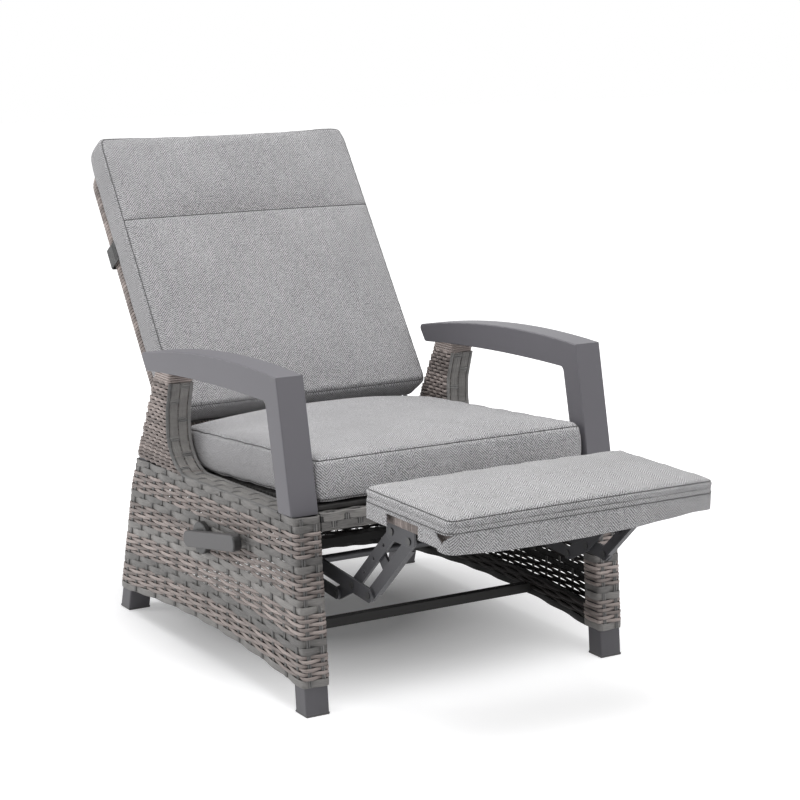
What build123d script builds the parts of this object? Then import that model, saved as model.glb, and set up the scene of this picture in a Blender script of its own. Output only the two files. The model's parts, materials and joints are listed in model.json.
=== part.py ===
from build123d import *
import os
from math import atan2, cos, degrees, hypot, radians, sin, tan

# Reclining garden armchair with a footrest on a double parallelogram linkage.
# Millimetres. +X is the sitter's left, -Y is the front, +Z is up.
# The origin is on the floor, midway between the four feet.
# The model stands in its fully reclined pose with the footrest raised.

os.makedirs("parts", exist_ok=True)

# Driving dimensions of the whole chair
base_depth = 850.0
half_width = 372.5
arm_width = 59.0
skin = 4.5
seat_tilt = 4.3
back_recline = 35.0
overrun = 1.0
seat_gap = 0.3
pin_clearance = 0.05
open_pivot_clearance = 0.3
layer_gap = 0.5

inner_face = half_width - arm_width
leg_width = arm_width - 2 * skin
leg_inner = inner_face + skin
leg_outer = half_width - skin
frame_mid = (leg_inner + leg_outer) / 2

# Legs
leg_depth = 44.0
leg_wall = 2.5
leg_corner = 4.0
glide_height = 5.0
front_lean = 5.7
rear_lean_low = 15.7
rear_lean_high = 26.7
rim_front_height = 380.0
rear_bend_drop = 82.0
rear_bend_height = rim_front_height - rear_bend_drop
rear_bend_radius = 260.0
front_leg_top = rim_front_height - skin


def front_leg_y(height):
    """Front face of the front leg, which leans back as it rises."""
    return -base_depth / 2 + height * tan(radians(front_lean))


rear_bend_y = base_depth / 2 - rear_bend_height * tan(radians(rear_lean_low))


def rear_leg_y(height):
    """Rear face of the rear leg: steep below its bend, more inclined above."""
    if height <= rear_bend_height:
        return base_depth / 2 - height * tan(radians(rear_lean_low))
    return rear_bend_y - (height - rear_bend_height) * tan(radians(rear_lean_high))


# Heights of the armrest above the rim of the woven side panel
arm_stand = 256.0
arm_crown_drop = 10.5
arm_under_drop = 59.0
arm_rear_drop = 45.0
arm_rear_depth = 35.0
arm_top_front = rim_front_height + arm_stand
arm_crown_height = arm_top_front - arm_crown_drop
arm_under_height = arm_top_front - arm_under_drop
arm_rear_top = arm_top_front - arm_rear_drop
arm_rear_bottom = arm_rear_top - arm_rear_depth

# Woven side panel; its rear post ends inside the arm
foot_show_front = 57.0
foot_show_rear = 50.0
arch_rise = 20.0
rim_fall = 19.0
rim_rear_height = rim_front_height - rim_fall
rim_curve = 85.0
post_in_arm = 10.0
post_top_height = arm_rear_bottom + post_in_arm
post_break_drop = 74.0
post_break_height = post_top_height - post_break_drop
post_break_radius = 70.0
post_top_width = 73.0
post_sweep = 23.0
post_top_front_y = rear_leg_y(post_top_height) + skin - post_top_width
post_front_y = post_top_front_y + post_sweep
post_inside = 26.0
rear_leg_top = post_top_height - post_inside
window_border = 42.0
window_low = 110.0
window_corner = 30.0

# Armrest in side view
arm_leg_setback = 12.1
arm_mitre_run = 55.5
arm_overhang = 72.5
arm_rear_slant = 27.0
arm_crown_share = 0.6236
arm_under_share = 0.5042
arm_depth_front = 53.0
arm_corner_share = 0.85
arm_leg_depth = 52.0
arm_inner_corner = 12.0
arm_end_corner = 9.0
arm_edge = 2.5
arm_wall = 2.5
arm_leg_front_y = front_leg_y(rim_front_height) - skin + arm_leg_setback
arm_front_y = arm_leg_front_y + arm_mitre_run
arm_rear_y = rear_leg_y(post_top_height) + arm_overhang
arm_crown_y = arm_front_y + arm_crown_share * (arm_rear_y - arm_front_y)
arm_under_y = arm_front_y + arm_under_share * (arm_rear_y - arm_front_y)

# Rails inside the side panel
rail_size = 22.0
rail_wall = 2.0
rail_clearance = 0.3
post_rail_bend = 3.0
post_rail_set = 5.2
post_rail_short = 14.0
post_rail_break = post_break_height + post_rail_bend
post_rail_y = post_top_front_y + post_rail_set
post_rail_height = post_top_height - post_rail_short

# Seat, on a plane that rises towards the front
seat_setback = 20.6
seat_over_rim = 12.0
seat_allowance = 249.0
seat_front_y = front_leg_y(rim_front_height) - skin + seat_setback
seat_front_height = rim_front_height + seat_over_rim
seat_length = base_depth - seat_allowance
seat_side_gap = 5.0
seat_half_width = inner_face - seat_side_gap
seat_thickness = 93.0
seat_draw = 3.0
seat_stations = (
    (0, 7, 0), (3, 3, 0), (10, 0.5, 0.1), (40, 0, 0.5), (110, 0, 0.85),
    (0.383 * seat_length, 0, 1), (0.616 * seat_length, 0, 1), (0.799 * seat_length, 0, 0.8),
    (seat_length - 56, 0, 0.5), (seat_length - 30, 0, 0.25),
    (seat_length - 11, 8, 0), (seat_length - 3, 18, 0), (seat_length, 30, 0),
)
seat_crown = 9.0
deck_thickness = 11.5
deck_side_inset = 3.5
deck_half_width = seat_half_width - deck_side_inset
deck_front = 8.0
deck_round = 3.0
beam_size = 30.0
beam_back = 1.0
beam_corner = 5.0
beam_wrap = 2.0
seat_rail_size = 25.0
seat_rail_wall = 2.0
seat_rail_inner = deck_half_width - seat_rail_size
seat_frame_short = 16.0
seat_frame_length = seat_length - seat_frame_short
mid_rail_share = 0.3927
mid_rail_back = mid_rail_share * seat_length

seat_rad = radians(seat_tilt)
seat_plane = Plane(
    origin=(0, seat_front_y, seat_front_height),
    x_dir=(1, 0, 0),
    z_dir=(0, sin(seat_rad), cos(seat_rad)),
)


def seat_height(y):
    """Height of the underside of the seat cushion above the floor."""
    return seat_front_height - (y - seat_front_y) * tan(seat_rad)


# Back, on a plane through its hinge, leaning back
hinge_behind = 20.0
hinge_drop = 0.3
hinge_y = seat_front_y + seat_length + hinge_behind
hinge_z = seat_height(hinge_y) - hinge_drop
back_rad = radians(back_recline)
cushion_low = 87.0
cushion_length = 665.0
head_seam = 469.0
cushion_side_gap = 6.5
cushion_half_width = inner_face - cushion_side_gap
cushion_thickness = 90.0
cushion_crown = 11.0
cushion_draw = 4.0
back_stations = (
    (0, 8, 0), (3, 3, 0), (11, 0, 0.1), (53, 0, 0.5), (143, 0, 0.9),
    (head_seam - 216, 0, 1), (head_seam - 116, 0, 0.9), (head_seam - 36, 0, 0.55),
    (head_seam - 10, 0, 0.1), (head_seam, 0, -0.8), (head_seam + 10, 0, 0.1),
    (head_seam + 36, 0, 0.6), (head_seam + 94, 0, 0.9), (cushion_length - 37, 0, 0.5),
    (cushion_length - 12, 2, 0.2), (cushion_length - 3, 9, 0), (cushion_length, 20, 0),
)
back_side_gap = 10.5
back_half_width = inner_face - back_side_gap
back_low = 68.0
back_high = 742.0
back_thickness = 32.0
back_corner = 60.0
back_tube_edge = 6.0
back_tube_wall = 2.0
back_wrap = 4.0
back_ring_corner = 46.0
drain_radius = 2.0
hinge_plate_width = 28.0
hinge_plate_top = 90.0
hinge_plate_rear = 15.0
bracket_plate = 5.0
bracket_back = 36.0
bracket_lift = 8.0
bracket_width = 30.0
hinge_bolt_radius = 5.0
hinge_head_radius = 9.0
hinge_head = 4.0
collar_radius = 8.0
strap_start = 490.0
strap_wide = 45.0
strap_thick = 3.0
strap_round = 6.0
strap_reach = 58.0

back_plane = Plane(
    origin=(0, hinge_y, hinge_z),
    x_dir=(1, 0, 0),
    z_dir=(0, -cos(back_rad), sin(back_rad)),
)

# Linkage, in the side view: the lower link, its parallel rear link and the two upper bars
link_setback = 82.5
link_drop_seat = 124.3
link_pivot_y = seat_front_y + link_setback
link_pivot_z = seat_height(link_pivot_y) - link_drop_seat
link_drop = 4.6
link_length = 148.0
bar_spacing = 60.0
bar_rise = 43.8
bar_length = 197.0
tail_back = 61.0
tail_drop = 31.6
link_width = 28.0
rear_link_width = 22.0
bar_width = 25.0
pin_radius = 4.0
head_radius = 7.0
head_height = 2.0
link_plate = 4.0
bar_plate = 5.0
torque_radius = 8.0
torque_wall = 2.5

# Side view layers, counted from the seat side rail inwards
plate_outer = seat_rail_inner
plate_inner = plate_outer - link_plate
link_outer = plate_inner - layer_gap
link_inner = link_outer - bar_plate
bar_outer = link_inner - layer_gap
bar_inner = bar_outer - bar_plate
stop_outer = bar_inner - layer_gap
stop_inner = stop_outer - bar_plate
bracket_outer = link_outer - overrun
bracket_inner = bracket_outer - link_plate


def step(point, length, rise):
    """Point reached from another one, forwards (-Y) and up by an angle in degrees."""
    return (
        point[0] - length * cos(radians(rise)),
        point[1] + length * sin(radians(rise)),
    )


pivot_link = (link_pivot_y, link_pivot_z)
pivot_bar_1 = step(pivot_link, link_length, -link_drop)
pivot_bar_2 = step(pivot_bar_1, bar_spacing, -link_drop)
pivot_tail = (pivot_bar_1[0] + tail_back, pivot_bar_1[1] - tail_drop)
pivot_rear = (pivot_link[0] + tail_back, pivot_link[1] - tail_drop)
pivot_foot_1 = step(pivot_bar_1, bar_length, bar_rise)
pivot_foot_2 = step(pivot_bar_2, bar_length, bar_rise)

# Footrest, level in this pose
foot_overhang = 73.2
foot_length = 295.0
foot_over_pivot = 16.0
foot_skirt_depth = 26.0
foot_pad_thickness = 32.0
rest_rear_y = pivot_foot_1[0] + foot_overhang
rest_front_y = rest_rear_y - foot_length
foot_skirt_bottom = pivot_foot_1[1] + foot_over_pivot
foot_pad_bottom = foot_skirt_bottom + foot_skirt_depth
foot_over_rail = 6.0
foot_half_width = seat_rail_inner + foot_over_rail
foot_crown = 8.0
foot_draw = 2.5
foot_skirt_draw = 1.0
foot_stations = (
    (0, 10, 0), (2, 4, 0), (8, 0, 0.2), (45, 0, 0.7), (110, 0, 1),
    (foot_length - 110, 0, 1), (foot_length - 45, 0, 0.7), (foot_length - 8, 0, 0.2),
    (foot_length - 2, 4, 0), (foot_length, 10, 0),
)
foot_skirt = 4.0
foot_wrap = 2.5
foot_frame_size = 20.0
foot_frame_wall = 1.5
foot_frame_corner = 14.0
cutout_start = 85.0
cutout_length = 110.0
cutout_corner = 10.0
notch_length = 35.0
notch_rise = 18.0
bracket_reach = 18.0
bracket_under = 16.0
bracket_corner = 12.0
bracket_low = pivot_foot_1[1] - bracket_under
bracket_start = pivot_foot_1[0] + bracket_reach
bracket_end = pivot_foot_2[0] - bracket_reach
stop_share = 0.6
stop_reach = 40.0
stop_width = 26.0
flange_share = 0.1
flange_plate = 3.0
flange_depth = 7.0
weight_hole = 4.0
weight_hole_shares = (0.25, 0.5, 0.75)
plate_reach_front = 21.5
plate_reach_rear = 83.5
plate_under = 46.5
plate_corner = 20.0
plate_hole = 14.0
plate_front = link_pivot_y - plate_reach_front
plate_rear = link_pivot_y + plate_reach_rear
plate_low = link_pivot_z - plate_under

# Gas spring under the seat
crank_length = 80.0
crank_lead = 10.0
spring_drop = 74.3
spring_pivot_y = seat_front_y + mid_rail_back
spring_pivot_z = seat_height(spring_pivot_y) - spring_drop
eye_radius = 11.0
eye_width = 14.0
crank_width = 22.0
spring_flange = 4.0
spring_flange_reach = 40.0
spring_fork_width = 26.0
cylinder_start = 16.0
fork_plate = 4.0
fork_gap = 0.5
cylinder_radius = 11.0
cylinder_bore = 8.0
cylinder_share = 0.6065
cylinder_end = 12.0
rod_radius = 5.0
piston_length = 10.0
rod_inside_share = 0.531
rod_eye_clearance = 1.4

# Release lever on the left side panel
lever_ahead = 173.0
lever_y = post_front_y - lever_ahead
lever_z = 258.0
lever_rise = 10.3
lever_front = 195.0
lever_back = 36.0
lever_height = 33.0
lever_thickness = 18.0
rosette_radius = 33.0
rosette_height = 12.0
shaft_radius = 6.0
lever_cap = 7.0

rosette_gap = 1.5
lever_edge = 3.0
lever_plate_width = 50.0
lever_plate_low = 225.0
lever_plate_thick = 3.0
boss_radius = 12.0

# Woven apron between the rear legs
apron_low = 52.0
apron_high = 310.0
apron_rise = 16.0
apron_rail = 20.0
apron_rail_wall = 1.5
apron_rail_low = 85.0
apron_rail_high = 288.0

# Stretcher bar
stretcher_share = 0.1941
stretcher_y = -stretcher_share * base_depth
stretcher_z = 88.0
stretcher_size = 19.0
stretcher_wall = 1.5

sides = (("left", -1), ("right", 1))


def save(builder, name):
    """Label a finished piece and write it."""
    builder.part.label = name
    export_step(builder.part, f"parts/{name}.step")


def side_plane(sign, inner, outer):
    """Upright plane facing +X at the lower X of a layer between two distances from the centre."""
    return Plane.YZ.offset(inner if sign > 0 else -outer)


def slope(start, end):
    """Angle of the line between two points of a side view, in degrees."""
    return degrees(atan2(end[1] - start[1], end[0] - start[0]))


def slot_between(start, end, width, mode=Mode.ADD):
    """Rounded bar outline around two points of a side view, inside a sketch."""
    middle = ((start[0] + end[0]) / 2, (start[1] + end[1]) / 2)
    length = hypot(end[0] - start[0], end[1] - start[1])
    with Locations(middle):
        SlotCenterToCenter(length, width, rotation=slope(start, end), mode=mode)


# Legs and glides


def leg_outline(is_rear, grow, low, high):
    """Side view of a front or rear leg as a closed outline; grow moves its long sides out."""
    with BuildLine() as outline:
        if is_rear:
            face = FilletPolyline(
                (rear_leg_y(low) + grow, low),
                (rear_bend_y + grow, rear_bend_height),
                (rear_leg_y(high) + grow, high),
                radius=rear_bend_radius,
            )
            back = FilletPolyline(
                (rear_leg_y(low) - leg_depth - grow, low),
                (rear_bend_y - leg_depth - grow, rear_bend_height),
                (rear_leg_y(high) - leg_depth - grow, high),
                radius=rear_bend_radius + leg_depth,
            )
        else:
            face = Line((front_leg_y(low) - grow, low), (front_leg_y(high) - grow, high))
            back = Line(
                (front_leg_y(low) + leg_depth + grow, low),
                (front_leg_y(high) + leg_depth + grow, high),
            )
        Line(face @ 0, back @ 0)
        Line(face @ 1, back @ 1)
    return outline


def leg(sign, is_rear, high):
    """Rectangular tube leg, open at its foot for the glide and closed at its top."""
    with BuildPart() as tube:
        with BuildSketch(side_plane(sign, leg_inner, leg_outer)):
            add(leg_outline(is_rear, 0, glide_height, high).line)
            make_face()
        extrude(amount=leg_width)
        long_edges = tube.edges().filter_by(
            lambda edge: abs(edge.tangent_at(0).X) < 0.5 and edge.bounding_box().size.Z > leg_depth
        )
        fillet(long_edges, leg_corner)
        with BuildSketch(side_plane(sign, leg_inner + leg_wall, leg_outer - leg_wall)):
            add(leg_outline(is_rear, -leg_wall, glide_height - overrun, high - leg_wall).line)
            make_face()
        extrude(amount=leg_width - 2 * leg_wall, mode=Mode.SUBTRACT)
    return tube


for side, sign in sides:
    save(leg(sign, False, front_leg_top), f"front_leg_{side}")
    save(leg(sign, True, rear_leg_top), f"rear_leg_{side}")

glide_edge = 1.5
spigot_height = 14.0
spigot_clearance = 0.2
foot_front_y = front_leg_y(glide_height) + leg_depth / 2
foot_rear_y = rear_leg_y(glide_height) - leg_depth / 2
foot_centres = [(sign * frame_mid, y) for _, sign in sides for y in (foot_front_y, foot_rear_y)]
with BuildPart() as glides:
    with BuildSketch():
        with Locations(foot_centres):
            Rectangle(leg_width, leg_depth)
    extrude(amount=glide_height)
    chamfer(glides.faces().sort_by(Axis.Z)[0:4].edges(), glide_edge)
    with BuildSketch(Plane.XY.offset(glide_height)):
        with Locations(foot_centres):
            spigot_inset = 2 * (leg_wall + spigot_clearance + glide_height)
            Rectangle(leg_width - spigot_inset, leg_depth - spigot_inset)
    extrude(amount=spigot_height)
save(glides, "foot_glides")

# Rails inside the side panels


def leg_face(is_rear):
    """Full side view of a leg, used to cut whatever the leg passes through."""
    with BuildSketch(Plane.XY) as face:
        add(leg_outline(is_rear, 0, glide_height, rear_leg_top if is_rear else front_leg_top).line)
        make_face()
    return face.sketch


leg_faces = [leg_face(is_rear) for is_rear in (False, True)]


def rim_height(y):
    """Top edge of the side panel, which falls slightly from the front leg to the rear post."""
    front_y = front_leg_y(rim_front_height) - skin
    share = (y - front_y) / (post_front_y - front_y)
    return rim_front_height + share * (rim_rear_height - rim_front_height)


def arch_points(inset, reach):
    """Lower outline of the side panel, moved up by an inset and extended into the legs."""
    front_y = front_leg_y(foot_show_front) + leg_depth - reach
    rear_y = rear_leg_y(foot_show_rear) - leg_depth + reach
    middle = ((front_y + rear_y) / 2, foot_show_front + arch_rise + inset)
    return (front_y, foot_show_front + inset), middle, (rear_y, foot_show_rear + inset)


def square_tube(path, sign):
    """Square rail along a side view path, open at its ends and fitted between the legs."""
    with BuildPart() as tube:
        for size, mode in ((rail_size, Mode.ADD), (rail_size - 2 * rail_wall, Mode.SUBTRACT)):
            with BuildSketch(side_plane(sign, frame_mid - size / 2, frame_mid + size / 2)):
                trace(path, line_width=size)
            extrude(amount=size, mode=mode)
        with BuildSketch(side_plane(sign, leg_inner, leg_outer)):
            add(leg_faces)
        extrude(amount=leg_width, mode=Mode.SUBTRACT)
    return tube


rim_inset = skin + rail_clearance + rail_size / 2
rail_front_y = front_leg_y(rim_front_height) + leg_depth / 2
with BuildLine() as rim_path:
    FilletPolyline(
        (rail_front_y, rim_height(rail_front_y) - rim_inset),
        (post_front_y + rim_inset, rim_height(post_front_y + rim_inset) - rim_inset),
        (post_front_y + rim_inset, post_rail_break),
        (post_rail_y + rim_inset, post_rail_height),
        radius=[rim_curve + rim_inset, post_break_radius + rim_inset],
    )
with BuildLine() as arch_path:
    ThreePointArc(*arch_points(rim_inset, leg_depth / 2))
for name, path in (("top_rails", rim_path.line), ("arch_rails", arch_path.line)):
    with BuildPart() as rail_pair:
        add([square_tube(path, sign).part for _, sign in sides])
    save(rail_pair, name)

# Armrests


def arm_corners(inset):
    """Corner points of an armrest's side view; an inset gives its hollow, open at the leg's foot."""
    leg_front = arm_leg_front_y + inset
    leg_rear = arm_leg_front_y + arm_leg_depth - inset
    stand = seat_gap - (overrun if inset else 0)
    return {
        "front_top": (arm_front_y + inset, arm_top_front - inset),
        "crown": (arm_crown_y, arm_crown_height - inset),
        "rear_top": (arm_rear_y - 2 * inset, arm_rear_top - inset),
        "rear_low": (arm_rear_y - arm_rear_slant, arm_rear_bottom + inset),
        "under_mid": (arm_under_y, arm_under_height + inset),
        "inner": (
            arm_front_y + arm_leg_depth * arm_corner_share - inset,
            arm_top_front - arm_depth_front + inset,
        ),
        "leg_rear": (leg_rear, rim_height(leg_rear) + stand),
        "leg_front": (leg_front, rim_height(leg_front) + stand),
    }


def arm_profile(inset):
    """Side view of an armrest: arched top, mitred front corner, leg and slanted rear end."""
    corner = arm_corners(inset)
    with BuildLine() as outline:
        ThreePointArc(corner["front_top"], corner["crown"], corner["rear_top"])
        Line(corner["rear_top"], corner["rear_low"])
        ThreePointArc(corner["rear_low"], corner["under_mid"], corner["inner"])
        Polyline(corner["inner"], corner["leg_rear"], corner["leg_front"], corner["front_top"])
    return outline.line


def rounded_arm_profile():
    """Outer side view of an armrest with its inner corner and rear end rounded."""
    corner = arm_corners(0)
    with BuildSketch(Plane.XY) as face:
        add(arm_profile(0))
        make_face()
        fillet(face.vertices().sort_by_distance(corner["inner"])[0], arm_inner_corner)
        for name in ("rear_top", "rear_low"):
            fillet(face.vertices().sort_by_distance(corner[name])[0], arm_end_corner)
    return face.sketch


arm_face = rounded_arm_profile()


def armrest(sign):
    """Arched box profile armrest with its leg, hollow inside."""
    with BuildPart() as arm:
        with BuildSketch(side_plane(sign, inner_face, half_width)):
            add(arm_face)
        extrude(amount=arm_width)
        fillet(arm.faces().filter_by(Axis.X).edges(), arm_edge)
        with BuildSketch(side_plane(sign, inner_face + arm_wall, half_width - arm_wall)):
            add(arm_profile(arm_wall))
            make_face()
        extrude(amount=arm_width - 2 * arm_wall, mode=Mode.SUBTRACT)
    return arm


for side, sign in sides:
    save(armrest(sign), f"armrest_{side}")

# Woven side panels


def panel_outline():
    """Side view of a woven side panel: leaning front, rim swept up into the rear post, arch."""
    front_low = (front_leg_y(foot_show_front) - skin, foot_show_front)
    front_top = (front_leg_y(rim_front_height) - skin, rim_front_height)
    post_low = (post_front_y, rim_rear_height)
    post_break = (post_front_y, post_break_height)
    post_top = (post_top_front_y, post_top_height)
    rear_top = (rear_leg_y(post_top_height) + skin, post_top_height)
    rear_low = (rear_leg_y(foot_show_rear) + skin, foot_show_rear)
    arch_front, arch_middle, arch_rear = arch_points(0, 0)
    with BuildLine() as outline:
        Line(front_low, front_top)
        FilletPolyline(front_top, post_low, post_break, post_top, radius=[rim_curve, post_break_radius])
        Line(post_top, rear_top)
        FilletPolyline(rear_top, (rear_bend_y + skin, rear_bend_height), rear_low, radius=rear_bend_radius)
        Line(rear_low, arch_rear)
        ThreePointArc(arch_rear, arch_middle, arch_front)
        Line(arch_front, front_low)
    return outline.line


def window_outline():
    """Opening in the inner wall of a side panel, between its legs and rails."""
    border = skin + window_border
    window_high = rim_rear_height - window_border
    with BuildLine() as outline:
        Polyline(
            (front_leg_y(window_low) + leg_depth + skin, window_low),
            (front_leg_y(window_high) + leg_depth + skin, window_high),
            (rear_leg_y(window_high) - leg_depth - border, window_high),
            (rear_leg_y(window_low) - leg_depth - skin, window_low),
            close=True,
        )
    return outline.line


def side_skin(sign):
    """Woven wrap of a side frame: closed outside, open inside between the legs and rails."""
    with BuildPart() as panel:
        with BuildSketch(side_plane(sign, inner_face, half_width)):
            add(panel_outline())
            make_face()
        extrude(amount=arm_width)
        with BuildSketch(side_plane(sign, leg_inner, leg_outer)):
            add(panel_outline())
            make_face()
            offset(amount=-skin, kind=Kind.INTERSECTION)
        extrude(amount=leg_width, mode=Mode.SUBTRACT)
        with BuildSketch(side_plane(sign, inner_face, leg_inner)) as opening:
            add(window_outline())
            make_face()
            fillet(opening.vertices(), window_corner)
        extrude(amount=skin, mode=Mode.SUBTRACT)
        with BuildSketch(side_plane(sign, leg_inner, leg_outer)):
            add(leg_faces)
        extrude(amount=leg_width, mode=Mode.SUBTRACT)
        with BuildSketch(side_plane(sign, inner_face - overrun, half_width + overrun)):
            add(arm_face)
        extrude(amount=arm_width + 2 * overrun, mode=Mode.SUBTRACT)
    return panel


side_skins = {side: side_skin(sign) for side, sign in sides}
shaft_hole = shaft_radius + overrun
with BuildPart() as left_skin:
    add(side_skins["left"].part)
    with Locations(Plane.YZ.offset(-half_width) * Pos(lever_y, lever_z)):
        Cylinder(shaft_hole, 2 * skin + overrun, mode=Mode.SUBTRACT)
save(left_skin, "wicker_side_left")
save(side_skins["right"], "wicker_side_right")

# Woven apron and low stretcher between the side panels
apron_plane = Plane(
    origin=(0, base_depth / 2, 0),
    x_dir=(1, 0, 0),
    z_dir=(0, -cos(radians(rear_lean_low)), -sin(radians(rear_lean_low))),
)
span = inner_face - seat_gap
with BuildPart() as apron:
    with BuildSketch(apron_plane.offset(-skin)):
        with BuildLine():
            ThreePointArc((-span, apron_low), (0, apron_low + apron_rise), (span, apron_low))
            Polyline((span, apron_low), (span, apron_high), (-span, apron_high), (-span, apron_low))
        make_face()
    extrude(amount=skin)
save(apron, "rear_apron")

with BuildPart() as apron_rails:
    with BuildSketch(Plane.YZ):
        for height in (apron_rail_low, apron_rail_high):
            with Locations((rear_leg_y(height) - apron_rail / 2 / cos(radians(rear_lean_low)), height)):
                Rectangle(apron_rail, apron_rail, rotation=rear_lean_low)
                rail_inside = apron_rail - 2 * apron_rail_wall
                Rectangle(rail_inside, rail_inside, rotation=rear_lean_low, mode=Mode.SUBTRACT)
    extrude(amount=span, both=True)
save(apron_rails, "apron_rails")

with BuildPart() as stretcher:
    with BuildSketch(Plane.YZ):
        with Locations((stretcher_y, stretcher_z)):
            Rectangle(stretcher_size, stretcher_size)
            bar_inside = stretcher_size - 2 * stretcher_wall
            Rectangle(bar_inside, bar_inside, mode=Mode.SUBTRACT)
    extrude(amount=inner_face, both=True)
save(stretcher, "stretcher_bar")


def soft_block(plane, half_width, thickness, crown, draw, stations):
    """Boxed cushion lofted along a plane's normal: stations give place, edge inset and crown share."""
    with BuildPart() as block:
        for place, inset, lift in stations:
            wide = half_width - inset
            seam = wide - draw
            high = thickness - inset
            with BuildSketch(plane.offset(place)):
                with BuildLine():
                    Line((-seam, inset), (seam, inset))
                    ThreePointArc((seam, inset), (wide, thickness / 2), (seam, high))
                    ThreePointArc((seam, high), (0, high + crown * lift + seat_gap), (-seam, high))
                    ThreePointArc((-seam, high), (-wide, thickness / 2), (-seam, inset))
                make_face()
        loft(ruled=True)
    return block


# Seat frame: woven deck on rails, wrapped front beam
deck_under = seat_gap + deck_thickness
rail_under = deck_under + seat_rail_size
seat_side_view = Plane(
    origin=(0, seat_front_y, seat_front_height),
    x_dir=(0, cos(seat_rad), -sin(seat_rad)),
    z_dir=(1, 0, 0),
)
seat_rear_view = Plane(
    origin=(0, seat_front_y, seat_front_height),
    x_dir=(-1, 0, 0),
    z_dir=(0, cos(seat_rad), -sin(seat_rad)),
)
with BuildPart() as deck:
    with BuildSketch(seat_plane.offset(-deck_under)):
        with Locations((0, (deck_front + seat_length) / 2)):
            Rectangle(2 * deck_half_width, seat_length - deck_front)
    extrude(amount=deck_thickness)
    fillet(deck.edges().filter_by(Axis.X), deck_round)
save(deck, "seat_deck")

with BuildPart() as beam:
    with BuildSketch(seat_side_view):
        with Locations((beam_back, -deck_under - beam_wrap - beam_size / 2)):
            RectangleRounded(beam_size, beam_size, beam_corner)
            beam_inside = beam_size - 2 * seat_rail_wall
            Rectangle(beam_inside, beam_inside, mode=Mode.SUBTRACT)
    extrude(amount=span, both=True)
save(beam, "seat_front_beam")

with BuildPart() as wrap:
    with BuildSketch(seat_side_view):
        with Locations((beam_back, -deck_under - beam_wrap - beam_size / 2)):
            RectangleRounded(beam_size + 2 * beam_wrap, beam_size + 2 * beam_wrap, beam_corner + beam_wrap)
            RectangleRounded(beam_size, beam_size, beam_corner, mode=Mode.SUBTRACT)
    extrude(amount=span, both=True)
save(wrap, "beam_wrap")

side_rail_start = beam_back + beam_size / 2 + beam_wrap
side_rail_end = seat_frame_length - seat_rail_size
rail_hollow = seat_rail_size - 2 * seat_rail_wall
for name, back, reach in (
    ("seat_rear_rail", seat_frame_length - seat_rail_size / 2, span),
    ("seat_mid_rail", mid_rail_back, seat_rail_inner),
):
    with BuildPart() as cross_rail:
        with BuildSketch(seat_side_view):
            with Locations((back, -deck_under - seat_rail_size / 2)):
                Rectangle(seat_rail_size, seat_rail_size)
                Rectangle(rail_hollow, rail_hollow, mode=Mode.SUBTRACT)
        extrude(amount=reach, both=True)
    save(cross_rail, name)

with BuildPart() as side_rails:
    rail_wide = deck_half_width - seat_rail_inner
    for _, sign in sides:
        with BuildSketch(seat_rear_view.offset(side_rail_start)):
            with Locations((-sign * (seat_rail_inner + rail_wide / 2), -deck_under - seat_rail_size / 2)):
                Rectangle(rail_wide, seat_rail_size)
                Rectangle(rail_wide - 2 * seat_rail_wall, rail_hollow, mode=Mode.SUBTRACT)
        extrude(amount=side_rail_end - side_rail_start)
save(side_rails, "seat_side_rails")

seat_pad = soft_block(
    seat_rear_view, seat_half_width, seat_thickness, seat_crown, seat_draw, seat_stations
)
save(seat_pad, "seat_cushion")

# Back: frame ring, woven back around it, cushion and strap


def back_point(up, out):
    """Side view point from its distances up the back and out of its front face."""
    return (
        hinge_y + up * sin(back_rad) - out * cos(back_rad),
        hinge_z + up * cos(back_rad) + out * sin(back_rad),
    )


back_rise_plane = Plane(
    origin=(0, hinge_y, hinge_z),
    x_dir=(-1, 0, 0),
    z_dir=(0, sin(back_rad), cos(back_rad)),
)
back_middle = (0, (back_low + back_high) / 2)
back_height = back_high - back_low
ring_width = 2 * (back_half_width - back_wrap)
ring_height = back_height - 2 * back_wrap
ring_depth = back_thickness - 2 * back_wrap


def ring_face(inset, band):
    """Rounded ring seen from the front of the back, a band wide and moved inwards by an inset."""
    with BuildSketch(Plane.XY) as face:
        with Locations(back_middle):
            RectangleRounded(
                ring_width - 2 * inset, ring_height - 2 * inset, back_corner - back_wrap - inset
            )
            RectangleRounded(
                ring_width - 2 * (inset + band),
                ring_height - 2 * (inset + band),
                back_ring_corner - ring_depth,
                mode=Mode.SUBTRACT,
            )
    return face.sketch


with BuildPart() as back_ring:
    with BuildSketch(back_plane.offset(-back_thickness + back_wrap)):
        add(ring_face(0, ring_depth))
    extrude(amount=ring_depth)
    fillet(back_ring.faces().filter_by(back_plane).edges(), back_tube_edge)
    with BuildSketch(back_plane.offset(-back_thickness + back_wrap + back_tube_wall)):
        add(ring_face(back_tube_wall, ring_depth - 2 * back_tube_wall))
    extrude(amount=ring_depth - 2 * back_tube_wall, mode=Mode.SUBTRACT)
    with BuildSketch(back_plane.offset(-back_thickness + back_wrap - overrun)):
        drain_x = back_half_width / 2
        with Locations(*[(sign * drain_x, back_low + back_wrap + ring_depth / 2) for _, sign in sides]):
            Circle(drain_radius)
    extrude(amount=ring_depth / 2, mode=Mode.SUBTRACT)
save(back_ring, "back_frame")


def hinge_profile(grow):
    """Side view of a hinge plate, from the hinge up to the frame ring."""
    with BuildSketch(Plane.XY) as face:
        slot_between(
            back_point(0, 0),
            back_point(hinge_plate_top, -hinge_plate_rear),
            hinge_plate_width + 2 * grow,
        )
    return face.sketch


crank_end = (
    hinge_y - crank_length * sin(radians(crank_lead)),
    hinge_z - crank_length * cos(radians(crank_lead)),
)
fork_inner = eye_width / 2 + fork_gap
fork_outer = fork_inner + fork_plate

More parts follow.
